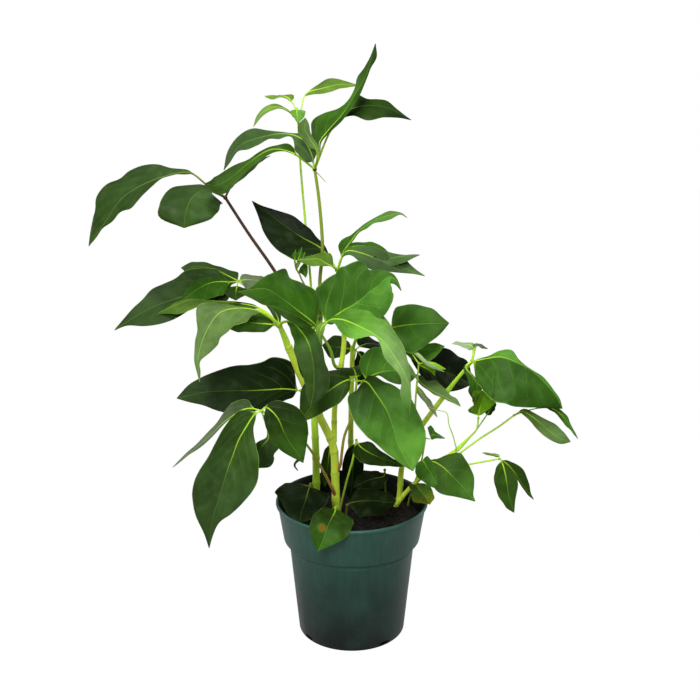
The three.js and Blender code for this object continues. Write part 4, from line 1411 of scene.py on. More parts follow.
LEAVES["leaf_left_front"] = leaf(
    [(-64, -13, 322), (-69, -16, 337), (-74, -20, 352)], (5.6, 4.4),
    seen(
        [(268, 316, -24), (256, 310, -30), (238, 308, -38), (220, 312.5, -48), (207, 330, -60),
        (199, 356, -74), (199.6, 381.6, -82)], 46, 26, (-2, -8, 6), "pale", halves=(0.78, 0.82), veins=0.4,
        stops=11,
        right=[(256, 309), (246.4, 307), (226, 304), (212, 301.8), (201.4, 303.4), (195, 306),
        (195.3, 313.6), (196.6, 321), (197.5, 327), (196, 338.2), (194.3, 348), (193.7, 358), (193.9, 366),
        (197, 372.5), (199, 380)],
        left=[(256, 311), (253.9, 313), (250.7, 318), (246.4, 321), (238, 323.2), (230.4, 328.6),
        (226, 333), (220.7, 336), (218.6, 340.4), (217, 344.8), (213.7, 345.2), (211, 351), (206.8, 356.4),
        (203, 360.7), (200.9, 360), (198, 364), (197.3, 369), (199, 375), (200, 381)],
    ),
    seen(
        [(262, 309, -14), (240, 304, -10), (212, 301.5, -12), (190, 300, -16), (172, 307, -20),
        (143, 321, -26)], 23, 26, (0, -4, 10), ("deep", "young", "moss"), halves=(0.85, 0.9), stops=9,
        right=[(245, 302), (212, 300), (194, 299.5), (180, 298), (176, 302), (170, 306), (162, 310),
        (155, 312), (143, 321)],
        left=[(245, 307), (225, 305), (212, 304), (196, 306.5), (190, 309.5), (180, 312.5), (170, 312.5),
        (157, 314.5), (143, 321.5)],
    ),
    seen(
        [(270, 324, -16), (256, 323, -12), (240, 322, -6), (222, 322, 0)], 24, 6, (0, -8, 6), "deep",
        stops=5,
        right=[(276, 318), (265, 312), (250, 311), (235, 312), (222, 322)],
        left=[(277, 327), (268, 331.3), (255, 332.3), (244, 332), (232, 331.8), (222, 322)],
    ),
    seen(
        [(283, 322.5, -24), (290, 322, -30), (300, 329.6, -42), (308, 343, -56), (313, 363, -72),
        (314, 388, -86), (311, 406.5, -94)], 28, 12, (0, -8, 6), ("fresh", "dusk", "dusk"),
        halves=(0.8, 1.05), stops=9,
        right=[(290, 323), (289.3, 326.4), (290.4, 333), (293.6, 340.4), (294, 350), (297.9, 363),
        (303.2, 375.7), (304, 382.5), (305.6, 393), (308.4, 402), (311, 406.5)],
        left=[(293, 321), (305, 325), (314, 329), (318, 335), (319, 341), (322.3, 346.4), (324.6, 354),
        (324.6, 363), (328, 369.6), (330.2, 374.3), (329.7, 381.7), (327, 393), (318.6, 402),
        (311, 406.5)],
    ),
    leaflet(
        [(-76, -12, 359), (-81, -6, 365)], (-91, 0, 372), 12, 1, (0, -8, 4), "dusk", right=(3, 4, 4, 4, 2),
        left=(3, 4, 4, 3, 2),
    ),
)
LEAVES["leaf_mid_left"] = leaf(
    [(-56, -8, 299), (-61, 3, 309), (-67, 10, 328), (-77, 14, 347), (-94, 16, 371), (-118, 16, 390)],
    (2.6, 2),
    seen(
        [(222, 288, 14), (200, 292, 4), (178, 298, -6), (150, 308, -18), (114, 330, -32)], 49, 8,
        (-1, -8, 7), "dark", stops=9,
        right=[(226, 272), (205, 266), (190, 265), (184.6, 270), (177.8, 275.5), (169.7, 281), (165, 283),
        (158, 284.5), (152, 289), (145.3, 297), (137.8, 304), (129.7, 311.4), (124.9, 317.5),
        (116.8, 326.4), (114, 330)],
        left=[(222, 300), (210, 304), (200, 306), (192.8, 308.5), (188, 311.4), (180.6, 315.5),
        (171.7, 319.6), (162.2, 322.8), (150, 324.5), (142.6, 325.9), (130.4, 324.7), (120.9, 326.4),
        (114, 330.5)],
    ),
    seen(
        [(230, 277, 24), (216, 270, 34), (200, 266, 44), (181, 267.5, 52)], 37, 1, (0, -7, 9), "dark",
        right=[(250, 274.4), (240, 272.5), (232, 270.3), (218.5, 266), (205, 262), (195, 261.5),
        (187, 262.5), (181, 267)],
        left=[(240, 290), (225, 291), (210, 291), (198, 286), (188, 276), (184.6, 270), (181, 268)],
    ),
    leaflet((-119, -2, 382), (-117, -20, 378), 24, 8, (0, -7, 8), "dusk"),
    seen(
        [(246, 280, 18), (256, 281, 14), (270, 286, 10)], 27, 1, (0, -7, 9), ("bloom", "bloom", "grey"),
        stops=5,
        right=[(240, 288), (250, 293), (258, 293), (266, 290), (270, 287)],
        left=[(230, 270.5), (240, 272.5), (246, 274.2), (255, 275.3), (263, 275.8), (270, 286)],
    ),
    seen(
        [(232, 282, 12), (214, 282.5, 6), (203, 286, 0), (190, 295, -8), (176, 308, -14)], 27, 10,
        (-1, -8, 6), "mid", halves=(1.1, 0.85), stops=5,
        right=[(230, 277), (210, 276), (196, 280), (184, 292), (176, 307)],
        left=[(230, 292), (212, 298), (200, 303), (188, 309), (176, 309)],
    ),
)
print("leaves so far:", len(LEAVES))

# %% [markdown]
# Old leaves hang here, darker than those above partly from age and partly as painted shade, on petioles
# that are flushed with red.

# %% Leaves below the middle
LEAVES["leaf_left_broad"] = leaf(
    [(-43, -2, 268), (-49, 1, 271), (-54, 4, 274)], (3, 2.4),
    seen(
        [(284, 388.6, -8), (268, 389.6, -14), (250, 390.5, -20), (230, 390.7, -24), (205, 392, -28),
        (177, 398.5, -30)], 52, 4, (0, -8, 5), ("black", "shade", "dark"), halves=(0.9, 0.85), stops=9,
        right=[(301, 389), (302, 384), (299, 376), (294.6, 367), (290.4, 360.7), (283, 357.5),
        (275.4, 355.6), (268, 357), (262.5, 360.7), (255, 363.4), (244.3, 364.5), (233.6, 366),
        (223, 368.8), (212, 372.5), (201.4, 377.3), (193, 381.6), (186.4, 386.4), (180, 393), (177, 398)],
        left=[(301, 392), (295.7, 393), (291.4, 398.2), (283, 401), (265, 409), (245, 413), (223, 412.1),
        (211, 408.4), (204.6, 405.7), (194, 403.6), (186.4, 401.4), (180, 399.3), (177, 398.5)],
    ),
)
LEAVES["leaf_low_left"] = leaf(
    [(-18, 8, 152), (-22, -2, 166), (-28, -8, 182), (-47, -32, 227), (-70, -52, 261), (-90, -64, 275)],
    (3.2, 2.2),
    seen(
        [(251.4, 408.8, -62), (243, 410, -60), (234, 414.5, -58), (225, 422, -56), (212, 434, -54),
        (196, 448, -52), (173, 467.5, -50)], 15, 8, (0, -6, 9), ("dark", "bloom", "bloom"),
        halves=(0.8, 0.95), stops=9,
        right=[(258, 409), (251, 407.5), (246.4, 402.5), (240, 398.2), (234.6, 399.8), (229.3, 404.6),
        (225, 409), (221.8, 413.2), (218.2, 419.3), (213, 426.8), (206.4, 434.3), (199, 441.8),
        (191.4, 448.2), (184, 454.6), (177.5, 461), (173, 467)],
        left=[(245, 412), (235, 416), (226, 422.5), (223.6, 424), (218.2, 430.5), (211.8, 437.8),
        (203.2, 445.3), (193.6, 451.8), (185, 457.2), (177.5, 463), (173, 468)],
    ),
    seen(
        [(255.7, 413.4, -66), (245, 428, -70), (238.6, 440.7, -73), (233.2, 453.6, -76),
        (227.9, 469.6, -79), (222.5, 488, -81), (217, 505, -82), (212.9, 518, -83), (209, 548, -84)], 61,
        4, (-2, -8, 4), ("dusk", "dark", "dark"), halves=(1.3, 1), stops=9,
        right=[(250, 410), (240, 412), (234.3, 415), (225.7, 421.4), (220.4, 433.2), (215, 443),
        (208.6, 453.6), (202, 464.3), (196.8, 474), (193.6, 483.6), (191.8, 496.4), (193, 507),
        (196.8, 520), (201, 528.6), (205.4, 538.2), (209, 548)],
        left=[(255.7, 416), (256.3, 420.4), (253.6, 426.8), (253.6, 435.4), (255.7, 446), (257.9, 455.7),
        (259.5, 466.4), (258.9, 475), (255.7, 484.6), (251.4, 492), (246, 499.6), (239.6, 505),
        (234.3, 511.4), (228, 516.8), (219.3, 523.2), (214.5, 528.6), (213, 536), (210.7, 541.4),
        (209, 548.4)],
    ),
    seen(
        [(266, 406.8, -64), (273, 411.8, -66), (278.2, 419.3, -67), (282.5, 429, -68), (286.8, 437.5, -69),
        (292, 446, -70), (298.6, 454.6, -70), (303.4, 463.2, -70)], 41, 5, (1, -8, 4),
        ("shade", "dusk", "mid"),
        right=[(262.8, 410.7), (263.75, 418.2), (265.4, 425.7), (269.6, 436.4), (275, 445), (282.5, 451.4),
        (291, 456.8), (297.5, 460), (303, 463.3)],
        left=[(265.4, 405.4), (273.2, 401.4), (282, 401), (289.3, 402.5), (293.6, 404.5), (299.6, 408.6),
        (306, 416), (308.2, 424.6), (308.2, 440.7), (306, 451.4), (305, 460), (303.5, 463)],
    ),
    seen(
        [(266, 424, -56), (268, 438, -50), (262, 446, -46), (257, 456, -42), (254, 468, -40)], 26, 26,
        (0, -8, 4), ("grey", "dark", "dark"), stops=5,
        right=[(262, 439), (256, 442), (252, 450), (250, 460), (254, 468)],
        left=[(269, 438), (271, 441), (272, 447), (274.5, 453.6), (274, 461), (269.6, 466.4),
        (263.2, 470.7), (258, 470.5), (254, 468)],
    ),
    foot="red",
    threads=[
        ([(-49, -69, 228), (-56, -67, 222), (-58, -65, 217), (-55, -63, 211)], (4, 1.2), "dark"),
    ],
)
LEAVES["leaf_centre_front"] = leaf(
    [(-17, 8, 177), (-12, 3, 192), (-11, 2, 202), (-8, -6, 226), (0, -20, 254), (5, -44, 300)], (3.2, 2.4),
    seen(
        [(350, 379.5, -46), (344, 381, -48), (331, 389, -52), (318, 400, -56), (308, 411, -58),
        (300, 422, -60)], 38, 6, (0, -8, 6), ("dusk", "dusk", "deep"), halves=(1.25, 0.85),
        right=[(351, 378), (346, 371), (341, 369), (335, 369), (325, 371), (310, 378), (304, 382),
        (301, 389), (299.6, 400), (299.5, 412), (300, 422)],
        left=[(351, 381), (350.6, 386.4), (347.4, 394.7), (342.7, 400.3), (337, 405), (328, 409.6),
        (318.6, 415), (309.3, 419), (300, 422.3)],
    ),
    seen(
        [(363, 381, -50), (368, 383, -54), (374.3, 391, -62), (380.8, 401.2, -70), (387.3, 412.4, -76),
        (393.8, 430, -82), (398, 444, -86), (404, 456, -90), (413.5, 471.5, -94)], 61, 7, (1, -8, 5),
        ("shade", "fresh", "bright"), halves=(1.15, 0.9), stops=9,
        right=[(360, 382), (352, 385.4), (348.3, 393), (347.8, 401.2), (349.2, 408.6), (353, 418),
        (359.4, 428), (368, 437), (378, 446), (390, 456), (400, 463), (413, 471.5)],
        left=[(366, 380), (376, 377), (388, 382), (400, 390), (410, 397), (415, 405), (419.8, 415),
        (423.6, 423.5), (426.5, 433), (426, 444), (422.5, 455), (419, 462), (413.8, 471.5)],
    ),
    seen(
        [(364, 380, -42), (370, 376, -38), (383, 371.5, -34), (400, 371, -30), (416, 376, -28)], 37, 10,
        (0, -8, 6), ("mid", "fresh", "pale"), halves=(1.2, 0.7), veins=0.7,
        right=[(366, 381), (379, 375.5), (388.2, 381), (397.5, 385), (408, 384), (416, 377)],
        left=[(363, 378), (362, 366), (361.3, 354.8), (365, 350.6), (372.4, 347.4), (381, 347), (395, 350),
        (410, 362), (416, 376)],
    ),
    leaflet((0, -18, 306), (-9, -4, 290), 34, 6, (0, -2, 10), "dusk"),
    foot="red",
)
LEAVES["leaf_back"] = leaf(
    [(0, 49, 304), (5, 42, 322), (11, 30, 339), (36, 5, 340)], (3.2, 2.4),
    seen(
        [(394, 327.5, 2), (412, 325, -2), (430, 323.5, -6), (449.5, 323.2, -8)], 57, 6, (0, -8, 7),
        ("fresh", "mid", "deep"), halves=(1.1, 0.9),
        right=[(387, 333), (392, 342), (400, 348), (411.6, 352), (422, 348), (433.4, 340.3), (443.7, 330),
        (449.4, 323.5)],
        left=[(387, 316), (397.5, 304.4), (411.4, 304.2), (425.4, 305.7), (434.6, 309), (442, 316),
        (449.4, 323)],
    ),
    seen(
        [(395, 338, 14), (404, 344, 16), (418, 349, 12), (431, 350, 8), (444, 346.5, 4)], 23, 16,
        (0, -8, 6), "bright", stops=5,
        right=[(404, 352), (414, 360), (426, 363), (434, 359), (444, 347)],
        left=[(408, 344), (417, 348.5), (431, 342), (437, 343.3), (443.7, 346.5)],
    ),
    leaflet(
        [(49, 24, 324), (63, 36, 310), (86, 48, 290), (109, 60, 276)], (136, 74, 259), 52, 30, (0, -8, 6),
        "black", right=(2, 10, 17, 23, 25, 20, 12), left=(14, 14, 21, 23, 25, 23, 21), halves=(0.5, 1),
    ),
    seen(
        [(398, 346, 10), (410, 366, 6), (421, 383, 0), (432, 390, -4), (446, 398, -8), (460.5, 406, -12)],
        13, 58, (0, -8, 6), ("dusk", "pale", "pale"),
        right=[(419, 383), (422, 386.6), (433.4, 394.3), (442.4, 398), (455.3, 404), (460.4, 406)],
        left=[(419, 381.4), (434.7, 380), (442.4, 385.3), (450, 394.3), (453.4, 402.6), (460.4, 406)],
    ),
)
print("leaves so far:", len(LEAVES))

# %% [markdown]
# The right side is open. Its leaves are small, and a tendril and two bare stalks show between them.

# %% Leaves at the right
LEAVES["leaf_right_inner"] = leaf(
    [(62, 36, 201), (66, 22, 216), (68, 2, 238), (66, -20, 267), (68, -30, 314)], (2.4, 1.8),
    seen(
        [(425, 362, -32), (434, 363, -34), (446, 369.5, -36)], 9, 4, (0, -6, 8), "acid", halves=(0.3, 1.1),
        stops=5,
        right=[(424, 365), (431, 368), (438, 370), (446, 370)],
        left=[(424, 361), (432, 362), (438.6, 364), (446, 369)],
    ),
    seen(
        [(411, 350, -22), (417, 353, -26), (424, 359.5, -32), (434, 366, -38), (444.4, 372, -42)], 6, 16,
        (2, -5, 9), ("frost", "frost", "pale"), stops=5,
        right=[(413, 353), (419.3, 358.3), (428.3, 366), (438.6, 370.3), (444.4, 372.3)],
        left=[(412.5, 351.5), (416.7, 351), (422, 355.5), (429.6, 363), (437.3, 367), (444.4, 371.5)],
    ),
    seen(
        [(423, 367, -28), (429, 370, -28), (434.5, 375, -28)], 7, 3, (0, -8, 4), "lime", halves=(1.3, 0.3),
        stops=5,
        right=[(420.6, 368.6), (425.7, 371.5), (431, 373.5), (434, 375)],
        left=[(422, 364), (428, 364), (433, 368), (435.5, 371), (434.5, 375)],
    ),
    seen(
        [(421, 392, -24), (428, 402, -22), (437.5, 417.5, -20)], 7, 1, (-4, -7, 3), "frost",
        base=(67, -24, 289), stops=5,
        right=[(415, 388), (418, 396), (425, 403), (431, 411), (437, 417.5)],
        left=[(417, 383), (424, 392), (431, 401), (435, 409), (438, 417)],
    ),
)
LEAVES["leaf_right"] = leaf(
    [(101, 10, 270), (110, 3, 286), (125, -10, 311)], (4.4, 3.2),
    seen(
        [(473.3, 353, -8), (473, 346.5, -8), (464, 344.5, -6), (452.5, 343.5, -4)], 11, 12, (0, -7, 8),
        ("whitish", "frost", "frost"), stops=5,
        right=[(474, 343.5), (472, 342.7), (464.3, 342.4), (455.3, 341.4), (452, 342.7)],
        left=[(472, 351), (468, 349.6), (460.4, 346.4), (456, 344.6), (452.5, 344)],
    ),
    leaflet(
        [(127, -10, 323), (128, -12, 329), (134, -16, 329)], (139, -20, 327), 25, 14, (1, -7, 7), "frost",
        right=(2, 3, 5, 5, 4), left=(3, 3, 4, 5, 4),
    ),
    seen(
        [(476, 360.3, -12), (485, 358.5, -16), (500, 357, -22), (515, 361, -28), (532, 371, -34),
        (548, 386, -40), (557, 398, -44), (562.6, 408.4, -48)], 60, 1, (0, -8, 6),
        ("fresh", "fresh", "mid"), halves=(1.45, 0.55), stops=11,
        right=[(471, 363.4), (473.3, 372.4), (477, 381.4), (482.3, 389), (490, 397), (497.7, 400),
        (509.3, 404.6), (518.3, 407), (528.6, 407), (541.4, 407.8), (549, 410.4), (556.9, 414),
        (562, 409)],
        left=[(471, 357.5), (478.4, 357), (483.6, 357.6), (492.6, 354.4), (501.6, 349.3), (509.3, 346),
        (513, 351.2), (519.6, 359.6), (528.6, 367.9), (536.3, 372.4), (544, 377.6), (550.4, 384),
        (554.3, 389.8), (555, 394.3), (558, 402), (562.6, 408.4)],
    ),
    seen(
        [(466, 367, -14), (474, 377, -18), (478, 388, -22), (475, 402, -26)], 15, 8, (-6, -5, 5),
        ("fresh", "mid", "dusk"), halves=(1.3, 0.8), stops=5,
        right=[(464, 371), (467, 377.6), (469, 384), (468.5, 392), (472, 400), (475, 402)],
        left=[(464, 369.9), (469.4, 371.8), (475, 376.3), (480, 384), (482.3, 390), (475, 402)],
    ),
)
LEAVES["leaf_right_lobed"] = leaf(
    [(104, -8, 206), (113, -9, 212), (125, -14, 229), (131, -18, 239), (132, -20, 252)], (2.4, 1.8),
    seen(
        [(478.5, 415, -21), (480, 408, -22), (482.5, 400, -24), (486, 391, -26)], 25, 3, (0, -8, 4),
        "lime", halves=(1.15, 1.7),
        right=[(482.3, 414.2), (487.4, 411), (492.6, 405.9), (497, 400), (490, 396.9), (486, 391)],
        left=[(472, 417.4), (468, 414.2), (467.5, 410.4), (471.4, 407.1), (474.6, 405.5), (472, 400.7),
        (472, 396.9), (473.3, 391.7), (479.7, 389.8), (486, 391)],
    ),
    seen(
        [(490, 409, 0), (494.5, 400, 2)], 11, 2, (2, -8, 3), "dusk", base=(142, -2, 247), stops=5,
        right=[(488, 417.5), (492, 414), (495, 409.5), (496.3, 404), (495, 400)],
        left=[(484, 416), (485, 408), (488, 402), (494, 400)],
    ),
    threads=[
        (
            [(112, -10, 211), (107, -12, 229), (102, -16, 243), (99, -18, 257), (92, -20, 260),
            (79, -24, 265)], (1.5, 0.7), "green",
        ),
        ([(106, -9, 208), (118, -8, 220), (130, -6, 231), (142, -2, 247)], (2, 1.6), "green"),
    ],
)
LEAVES["leaf_right_low"] = leaf(
    [(96, -4, 197), (107, -17, 206), (122, -19, 219), (137, -20, 231), (152, -28, 245), (167, -34, 260)],
    (2.4, 1.8),
    seen(
        [(522, 411.5, -36), (534, 418.5, -40), (548, 429.5, -44), (560, 438, -48), (570.5, 442, -50)], 18,
        6, (0, -8, 6), ("young", "pale", "grey"),
        right=[(519.6, 414.4), (526, 416.4), (531, 422.6), (539, 431.6), (546.6, 438), (555.6, 443),
        (562, 444.4), (568.4, 444)],
        left=[(515.7, 407.8), (526, 408.4), (535, 413.6), (548, 420), (557, 425), (564.6, 433),
        (571.4, 441.2)],
    ),
    seen(
        [(532, 409, -30), (550, 408, -34), (560, 414, -38), (569.5, 425, -42), (578, 438.6, -46)], 9, 34,
        (1, -7, 7), ("deep", "mid", "fresh"),
        right=[(553, 412), (557.5, 414), (560.7, 420), (567, 427), (573.6, 434), (578, 438.6)],
        left=[(556, 406), (562.6, 411), (567, 415), (571, 424), (578, 438.6)],
    ),
)
LEAVES["leaf_right_hanging"] = leaf(
    [(86, 4, 186), (96, -16, 192), (107, -24, 199), (122, -32, 205), (152, -44, 216)], (2.2, 1.8),
    seen(
        [(501.5, 461.4, -46), (504.7, 470.6, -50), (506.6, 482, -54), (508.6, 494, -57),
        (513.8, 513, -60)], 24, 3, (0, -8, 4), "deep", halves=(0.8, 0.9),
        right=[(498.7, 461), (496, 468.8), (494, 477), (494.5, 485.5), (497.7, 494.8), (503, 503),
        (507.5, 508.7), (512, 512.4), (513.8, 513)],
        left=[(502, 461), (506.6, 465), (510.3, 469.7), (515, 474.4), (518.2, 481), (517.7, 490),
        (516, 497.6), (515, 505), (514.2, 512.4)],
    ),
    seen(
        [(506.5, 463.5, -42), (512, 469, -40), (517.5, 477, -38), (523, 486, -37), (533.5, 499, -36)], 11,
        4, (2, -8, 3), "deep",
        right=[(506.6, 465.5), (514, 474.8), (518.2, 481.2), (523.3, 489.4), (529, 496.8), (533, 499.2)],
        left=[(503.3, 460.6), (508.4, 460.6), (515, 462.7), (520.5, 466), (525.6, 472.5), (528.4, 480),
        (530.7, 491), (533.5, 499)],
    ),
    seen(
        [(499, 456.5, -40), (492, 454.5, -36), (482.4, 453, -32)], 5, 3, (0, -4, 9), "pale", stops=5,
        right=[(502, 454.8), (495, 453.3), (488, 452.6), (482.4, 452.4)],
        left=[(499, 457.8), (492, 456), (486, 454.6), (482.4, 453.4)],
    ),
)
LEAVES["leaf_right_front"] = leaf(
    [(78, 11, 175), (77, -8, 190), (77, -24, 204)], (2.6, 2.2),
    seen(
        [(431.4, 461.2, -26), (438, 464, -30), (444.4, 469, -34), (452, 475.3, -38), (463, 487, -44),
        (475, 501.5, -50)], 45, 5, (0, -8, 5), ("deep", "deep", "fresh"), stops=9,
        right=[(428.6, 461.5), (431, 470), (433, 479), (433, 487), (440, 493), (450, 496.2),
        (459.2, 497.6), (467.6, 499.4), (475, 501.7)],
        left=[(429.5, 460), (436, 459), (442.5, 456.7), (450, 453), (455.5, 452), (459.7, 452.8),
        (464, 457.6), (469.4, 465), (473, 472.5), (475.5, 479), (474, 483.6), (474.3, 489.2), (473.3, 493),
        (474, 497.6), (475, 501.3)],
    ),
    leaflet(
        [(74, -30, 209), (80, -36, 201), (85, -42, 193)], (89, -46, 183), 18, 2, (-3, -8, 4),
        ("fresh", "mid", "fresh"), right=(9, 14, 14, 11, 8), left=(7, 8, 7, 5, 3),
    ),
)
LEAVES["leaf_small_right"] = leaf(
    [(69, 17, 162), (75, 12, 186), (79, 0, 222)], (2, 1.6),
    seen(
        [(430.5, 438.5, -2), (432, 435, -4), (437, 435.5, -6), (445, 438, -8)], 20, 7, (0, -7, 7), "fresh",
        stops=5,
        right=[(431.5, 439.5), (437.3, 438.6), (445, 438.6)],
        left=[(429, 436), (426, 430), (425.6, 425.8), (431, 427.7), (436, 431.6), (445, 438)],
    ),
)
print("leaves so far:", len(LEAVES))

# %% [markdown]
# Single leaves stand low in the pot, nearly black in the shade, apart from the one that hangs over the rim.

# %% Leaves in the pot
LEAVES["leaf_pot_left"] = leaf(
    [(-36, 22, 112), (-37, 20, 141), (-44, -12, 174)], (3, 2.4),
    seen(
        [(309, 489, -16), (306, 500, -24), (302, 512, -34), (299, 524, -46)], 58, 2, (0, -6, 8),
        ("black", "black", "shade"), halves=(0.9, 1),
        right=[(311, 484), (306, 480), (298, 478), (288, 480.5), (280, 485), (274, 491), (276, 495),
        (281, 499), (283, 506), (288, 514), (294, 521), (299, 524.5)],
        left=[(312, 481), (318, 483), (327, 486), (330, 493), (327, 503), (320, 512), (311, 519),
        (303, 523), (299, 524.5)],
    ),
    foot="olive", skin="olive",
)
LEAVES["leaf_pot_front"] = leaf(
    [(-11, -8, 112), (-12, -12, 136), (-17, -34, 157)], (2.8, 2.2),
    seen(
        [(335, 512, -44), (331.5, 519, -66), (327, 528, -81), (323, 540, -90), (318.6, 551.4, -93)], 41, 3,
        (0, -8, 5), ("dusk", "dusk", "mid"), halves=(1.05, 0.75),
        right=[(334, 506), (330.7, 504), (323.4, 505.9), (316, 511.4), (312, 517.4), (309.5, 524.7),
        (309.5, 532), (312, 540.5), (315.5, 547.2), (318.5, 551)],
        left=[(338, 507), (344, 506.5), (349, 510), (352.6, 516.2), (353.2, 522.3), (351.4, 529.6),
        (345.3, 537.5), (336.8, 543), (327, 547.2), (319, 551.5)],
    ),
)
LEAVES["leaf_pot_centre"] = leaf(
    [(-6, 4, 112), (-6, 0, 132), (-5, -8, 148)], (2.8, 2.2),
    seen(
        [(351, 503, -12), (361, 501.5, -18), (374, 501, -24), (386, 502, -28), (395.5, 502, -30)], 37, 3,
        (0, -6, 9), "black",
        right=[(349.5, 504), (352.6, 509.5), (357.4, 514.4), (367, 516.5), (377, 515), (386.6, 510),
        (394, 506), (395.7, 502.5)],
        left=[(349.5, 502), (350, 495.6), (353.8, 490), (360, 488), (373.2, 488.3), (383, 490.7),
        (391.4, 493), (395.7, 501)],
    ),
    foot="olive", skin="olive",
)
LEAVES["leaf_pot_right"] = leaf(
    [(38, 40, 112), (38, 42, 140), (37, 40, 169)], (2.6, 2.2),
    seen(
        [(384, 476, 34), (376, 478, 28), (366, 481, 20), (354, 487, 12)], 26, 3, (0, -7, 8), "black",
        stops=5,
        right=[(386, 472), (382.9, 471.9), (373.2, 470), (362.3, 471.9), (355, 478.6), (354, 486)],
        left=[(387, 480), (382, 488), (372, 490), (362, 490), (354, 488)],
    ),
    foot="olive", skin="olive",
)
LEAVES["leaf_pot_yellow"] = leaf(
    [(62, 30, 112), (64, 28, 138), (71, 22, 161)], (2.2, 1.8),
    seen(
        [(416, 485, 14), (420, 490, 2), (425, 497, -14), (430.5, 504, -28)], 25, 2, (1, -6, 9),
        ("yellow", "moss", "straw"), halves=(1.3, 0.6), stops=5,
        right=[(412, 486), (410.6, 494), (413, 499.5), (417.5, 504), (423, 505.8), (428, 505.2),
        (430, 504.5)],
        left=[(417.5, 481.5), (421.8, 480.6), (428, 484.3), (433, 490), (434.5, 497), (432, 502.5),
        (430, 504)],
    ),
    foot="olive", skin="olive",
)
LEAVES["leaf_pot_back"] = leaf(
    [(-12, -2, 112), (-13, 0, 134), (-6, 6, 168), (1, 8, 194), (5, 10, 216)], (2.6, 2),
    seen(
        [(360, 446, 4), (372, 454, -4), (388, 461, -12), (404, 466.5, -20)], 25, 4, (0, -8, 7), "dusk",
        right=[(352.6, 443.4), (352.6, 453), (357.4, 460.4), (366, 464), (377, 466.2), (389, 466.5),
        (400, 467), (404, 467)],
        left=[(358, 439), (364.7, 439.7), (373.2, 443.4), (379.3, 449.4), (389, 455.5), (398.7, 461.6),
        (404, 466)],
    ),
    leaflet(
        [(2, 18, 193), (1, 26, 175), (0, 32, 155)], (-2, 36, 134), 26, 4, (1, -8, 4), "black",
        right=(9, 11, 12, 12, 11, 9, 6), left=(9, 11, 12, 12, 11, 9, 6),
    ),
    leaflet(
        [(-25, 22, 194), (-27, 24, 175)], (-30, 26, 155), 16, 2, (0, -8, 3), "dusk", base=(-23, 20, 209),
        right=(6, 7, 8, 7, 5), left=(6, 7, 8, 7, 5),
    ),
    foot="brown",
    threads=[
        ([(-20, 8, 208), (-22, 14, 211), (-23, 20, 209)], (2, 1.5), "dark"),
    ],
)
print("leaves so far:", len(LEAVES))

# %% [markdown]
# A few leaves only fill the gaps at the back, and one shoot hasn't opened yet.

# %% Leaves behind, and a young shoot
LEAVES["leaf_behind"] = leaf(
    [(0, 52, 280), (2, 60, 290), (4, 64, 302)], (2.6, 2),
    leaflet((20, 76, 306), (40, 92, 297), 36, 6, (0, -3, 10), "black"),
    leaflet(
        [(-10, 66, 304), (-20, 70, 304)], (-33, 76, 304), 22, 4, (0, -8, 4), "dark",
        right=(8, 12, 13, 12, 7), left=(8, 12, 14, 13, 7),
    ),
    leaflet(
        [(10, 60, 296), (10, 56, 282)], (7, 54, 264), 14, 3, (0, -8, 3), "black", right=(6, 8, 9, 8, 5),
        left=(6, 8, 9, 8, 5),
    ),
)
LEAVES["young_shoot"] = leaf(
    [(-35, 15, 330), (-40, 8, 360), (-49, -2, 391), (-51, -6, 396), (-53, -12, 403), (-56, -18, 410),
    (-57, -22, 418)], (2.2, 1.6),
    leaflet(
        [(-57, -22, 424)], (-56, -22, 430), 6, 1, (0, -8, 3), "mid", right=(2, 3, 3, 2, 1),
        left=(2, 3, 3, 2, 1),
    ),
    leaflet(
        [(-52, -20, 425)], (-50, -19, 432), 7, 1, (0, -8, 3), "mid", base=(-55, -21, 418),
        right=(3, 3, 3, 2, 1), left=(3, 3, 3, 2, 1),
    ),
    leaflet(
        [(-48, -19, 424)], (-47, -18, 427), 4, 1, (0, -8, 3), "mid", base=(-51, -20, 418),
        right=(1, 2, 2, 1, 1), left=(1, 2, 2, 1, 1),
    ),
    leaflet(
        [(-50, -6, 408), (-48, -4, 403)], (-47, -4, 398), 10, 1, (0, -8, 3), "fresh", base=(-54, -15, 406),
        right=(4, 5, 6, 5, 3), left=(4, 5, 6, 5, 3),
    ),
    leaflet(
        [(-55, -21, 413), (-53, -22, 417)], (-51, -22, 421), 5, 1, (0, -8, 3), "young",
        base=(-55, -18, 409), right=(1, 2, 2, 2, 1), left=(1, 2, 2, 2, 1),
    ),
    skin="leafy",
)
print("leaves so far:", len(LEAVES))

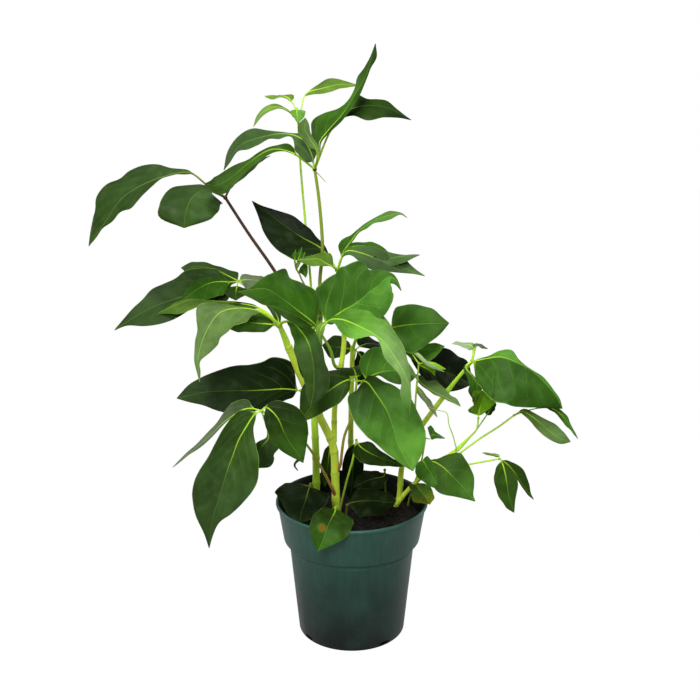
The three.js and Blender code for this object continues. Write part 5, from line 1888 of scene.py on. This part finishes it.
# %% [markdown]
# A leaf is one piece: the petiole first, then its threads, the knuckle at the hub, and its leaflets. The
# petiole starts inside the stem or the soil that carries it, so nothing floats. Stalks have the stem's skin
# and leaflets the leaf's.

# %% Leaves
KNUCKLE = 0.75
LEAFLET_STALK = 0.4
PETIOLE_SHEATH = 0.3
YOUNG_NODES = (
    "leaf_young_top",
    "leaf_right_inner",
    "leaf_right_lobed",
    "leaf_right_low",
    "leaf_pot_yellow",
    "young_shoot",
)


def add_knuckle(bm, centre, radius, green):
    """The swelling where the leaflets meet."""
    place = Matrix.Translation(centre)
    knob = bmesh.ops.create_icosphere(bm, subdivisions=3, radius=radius, matrix=place)["verts"]
    layer = bm.verts.layers.float_color["green"]
    for v in knob:
        v.co += (v.co - Vector(centre)) * 0.18 * noise.noise(v.co * 0.9)
        v[layer] = with_alpha(green)


def build_leaf(node, row):
    petiole, across = row["petiole"], row["across"]
    foot_green, stalk_green = STALKS[row["foot"]], STALKS[row["skin"]]
    hub = petiole[-1]
    bm = new_mesh()
    add_stalk(bm, petiole, across, foot_green, stalk_green, sheath=PETIOLE_SHEATH)
    for route, diameters, tint in row["threads"]:
        add_stalk(bm, route, diameters, STALKS[tint], sides=8)
    hub_green = STALKS[row["hub"]] if row["hub"] else mixed(stalk_green, HUB_BROWN, 0.35)
    add_knuckle(bm, hub, across[1] * KNUCKLE, hub_green)
    stalk_faces = len(bm.faces)
    for i, leaflet_row in enumerate(row["leaflets"]):
        leaflet_green = STALKS[leaflet_row.get("skin", row["skin"])]
        add_leaflet(bm, hub, leaflet_row, across[1] * LEAFLET_STALK, leaflet_green, f"{node} {i}")
    bm.faces.ensure_lookup_table()
    for face in bm.faces[stalk_faces:]:
        face.material_index = 1
    slot = "leaf_young_green" if node in YOUNG_NODES else "leaf_green"
    name = node.replace("leaf_", "") + "_foliage"
    return write_piece(bm, name, [stem_skin, leaf_skin], node)


faces = 0
for node, row in LEAVES.items():
    piece = build_leaf(node, row)
    faces += len(piece.data.polygons)
print("leaflets:", sum(len(row["leaflets"]) for row in LEAVES.values()), "faces of all the leaves:", faces)
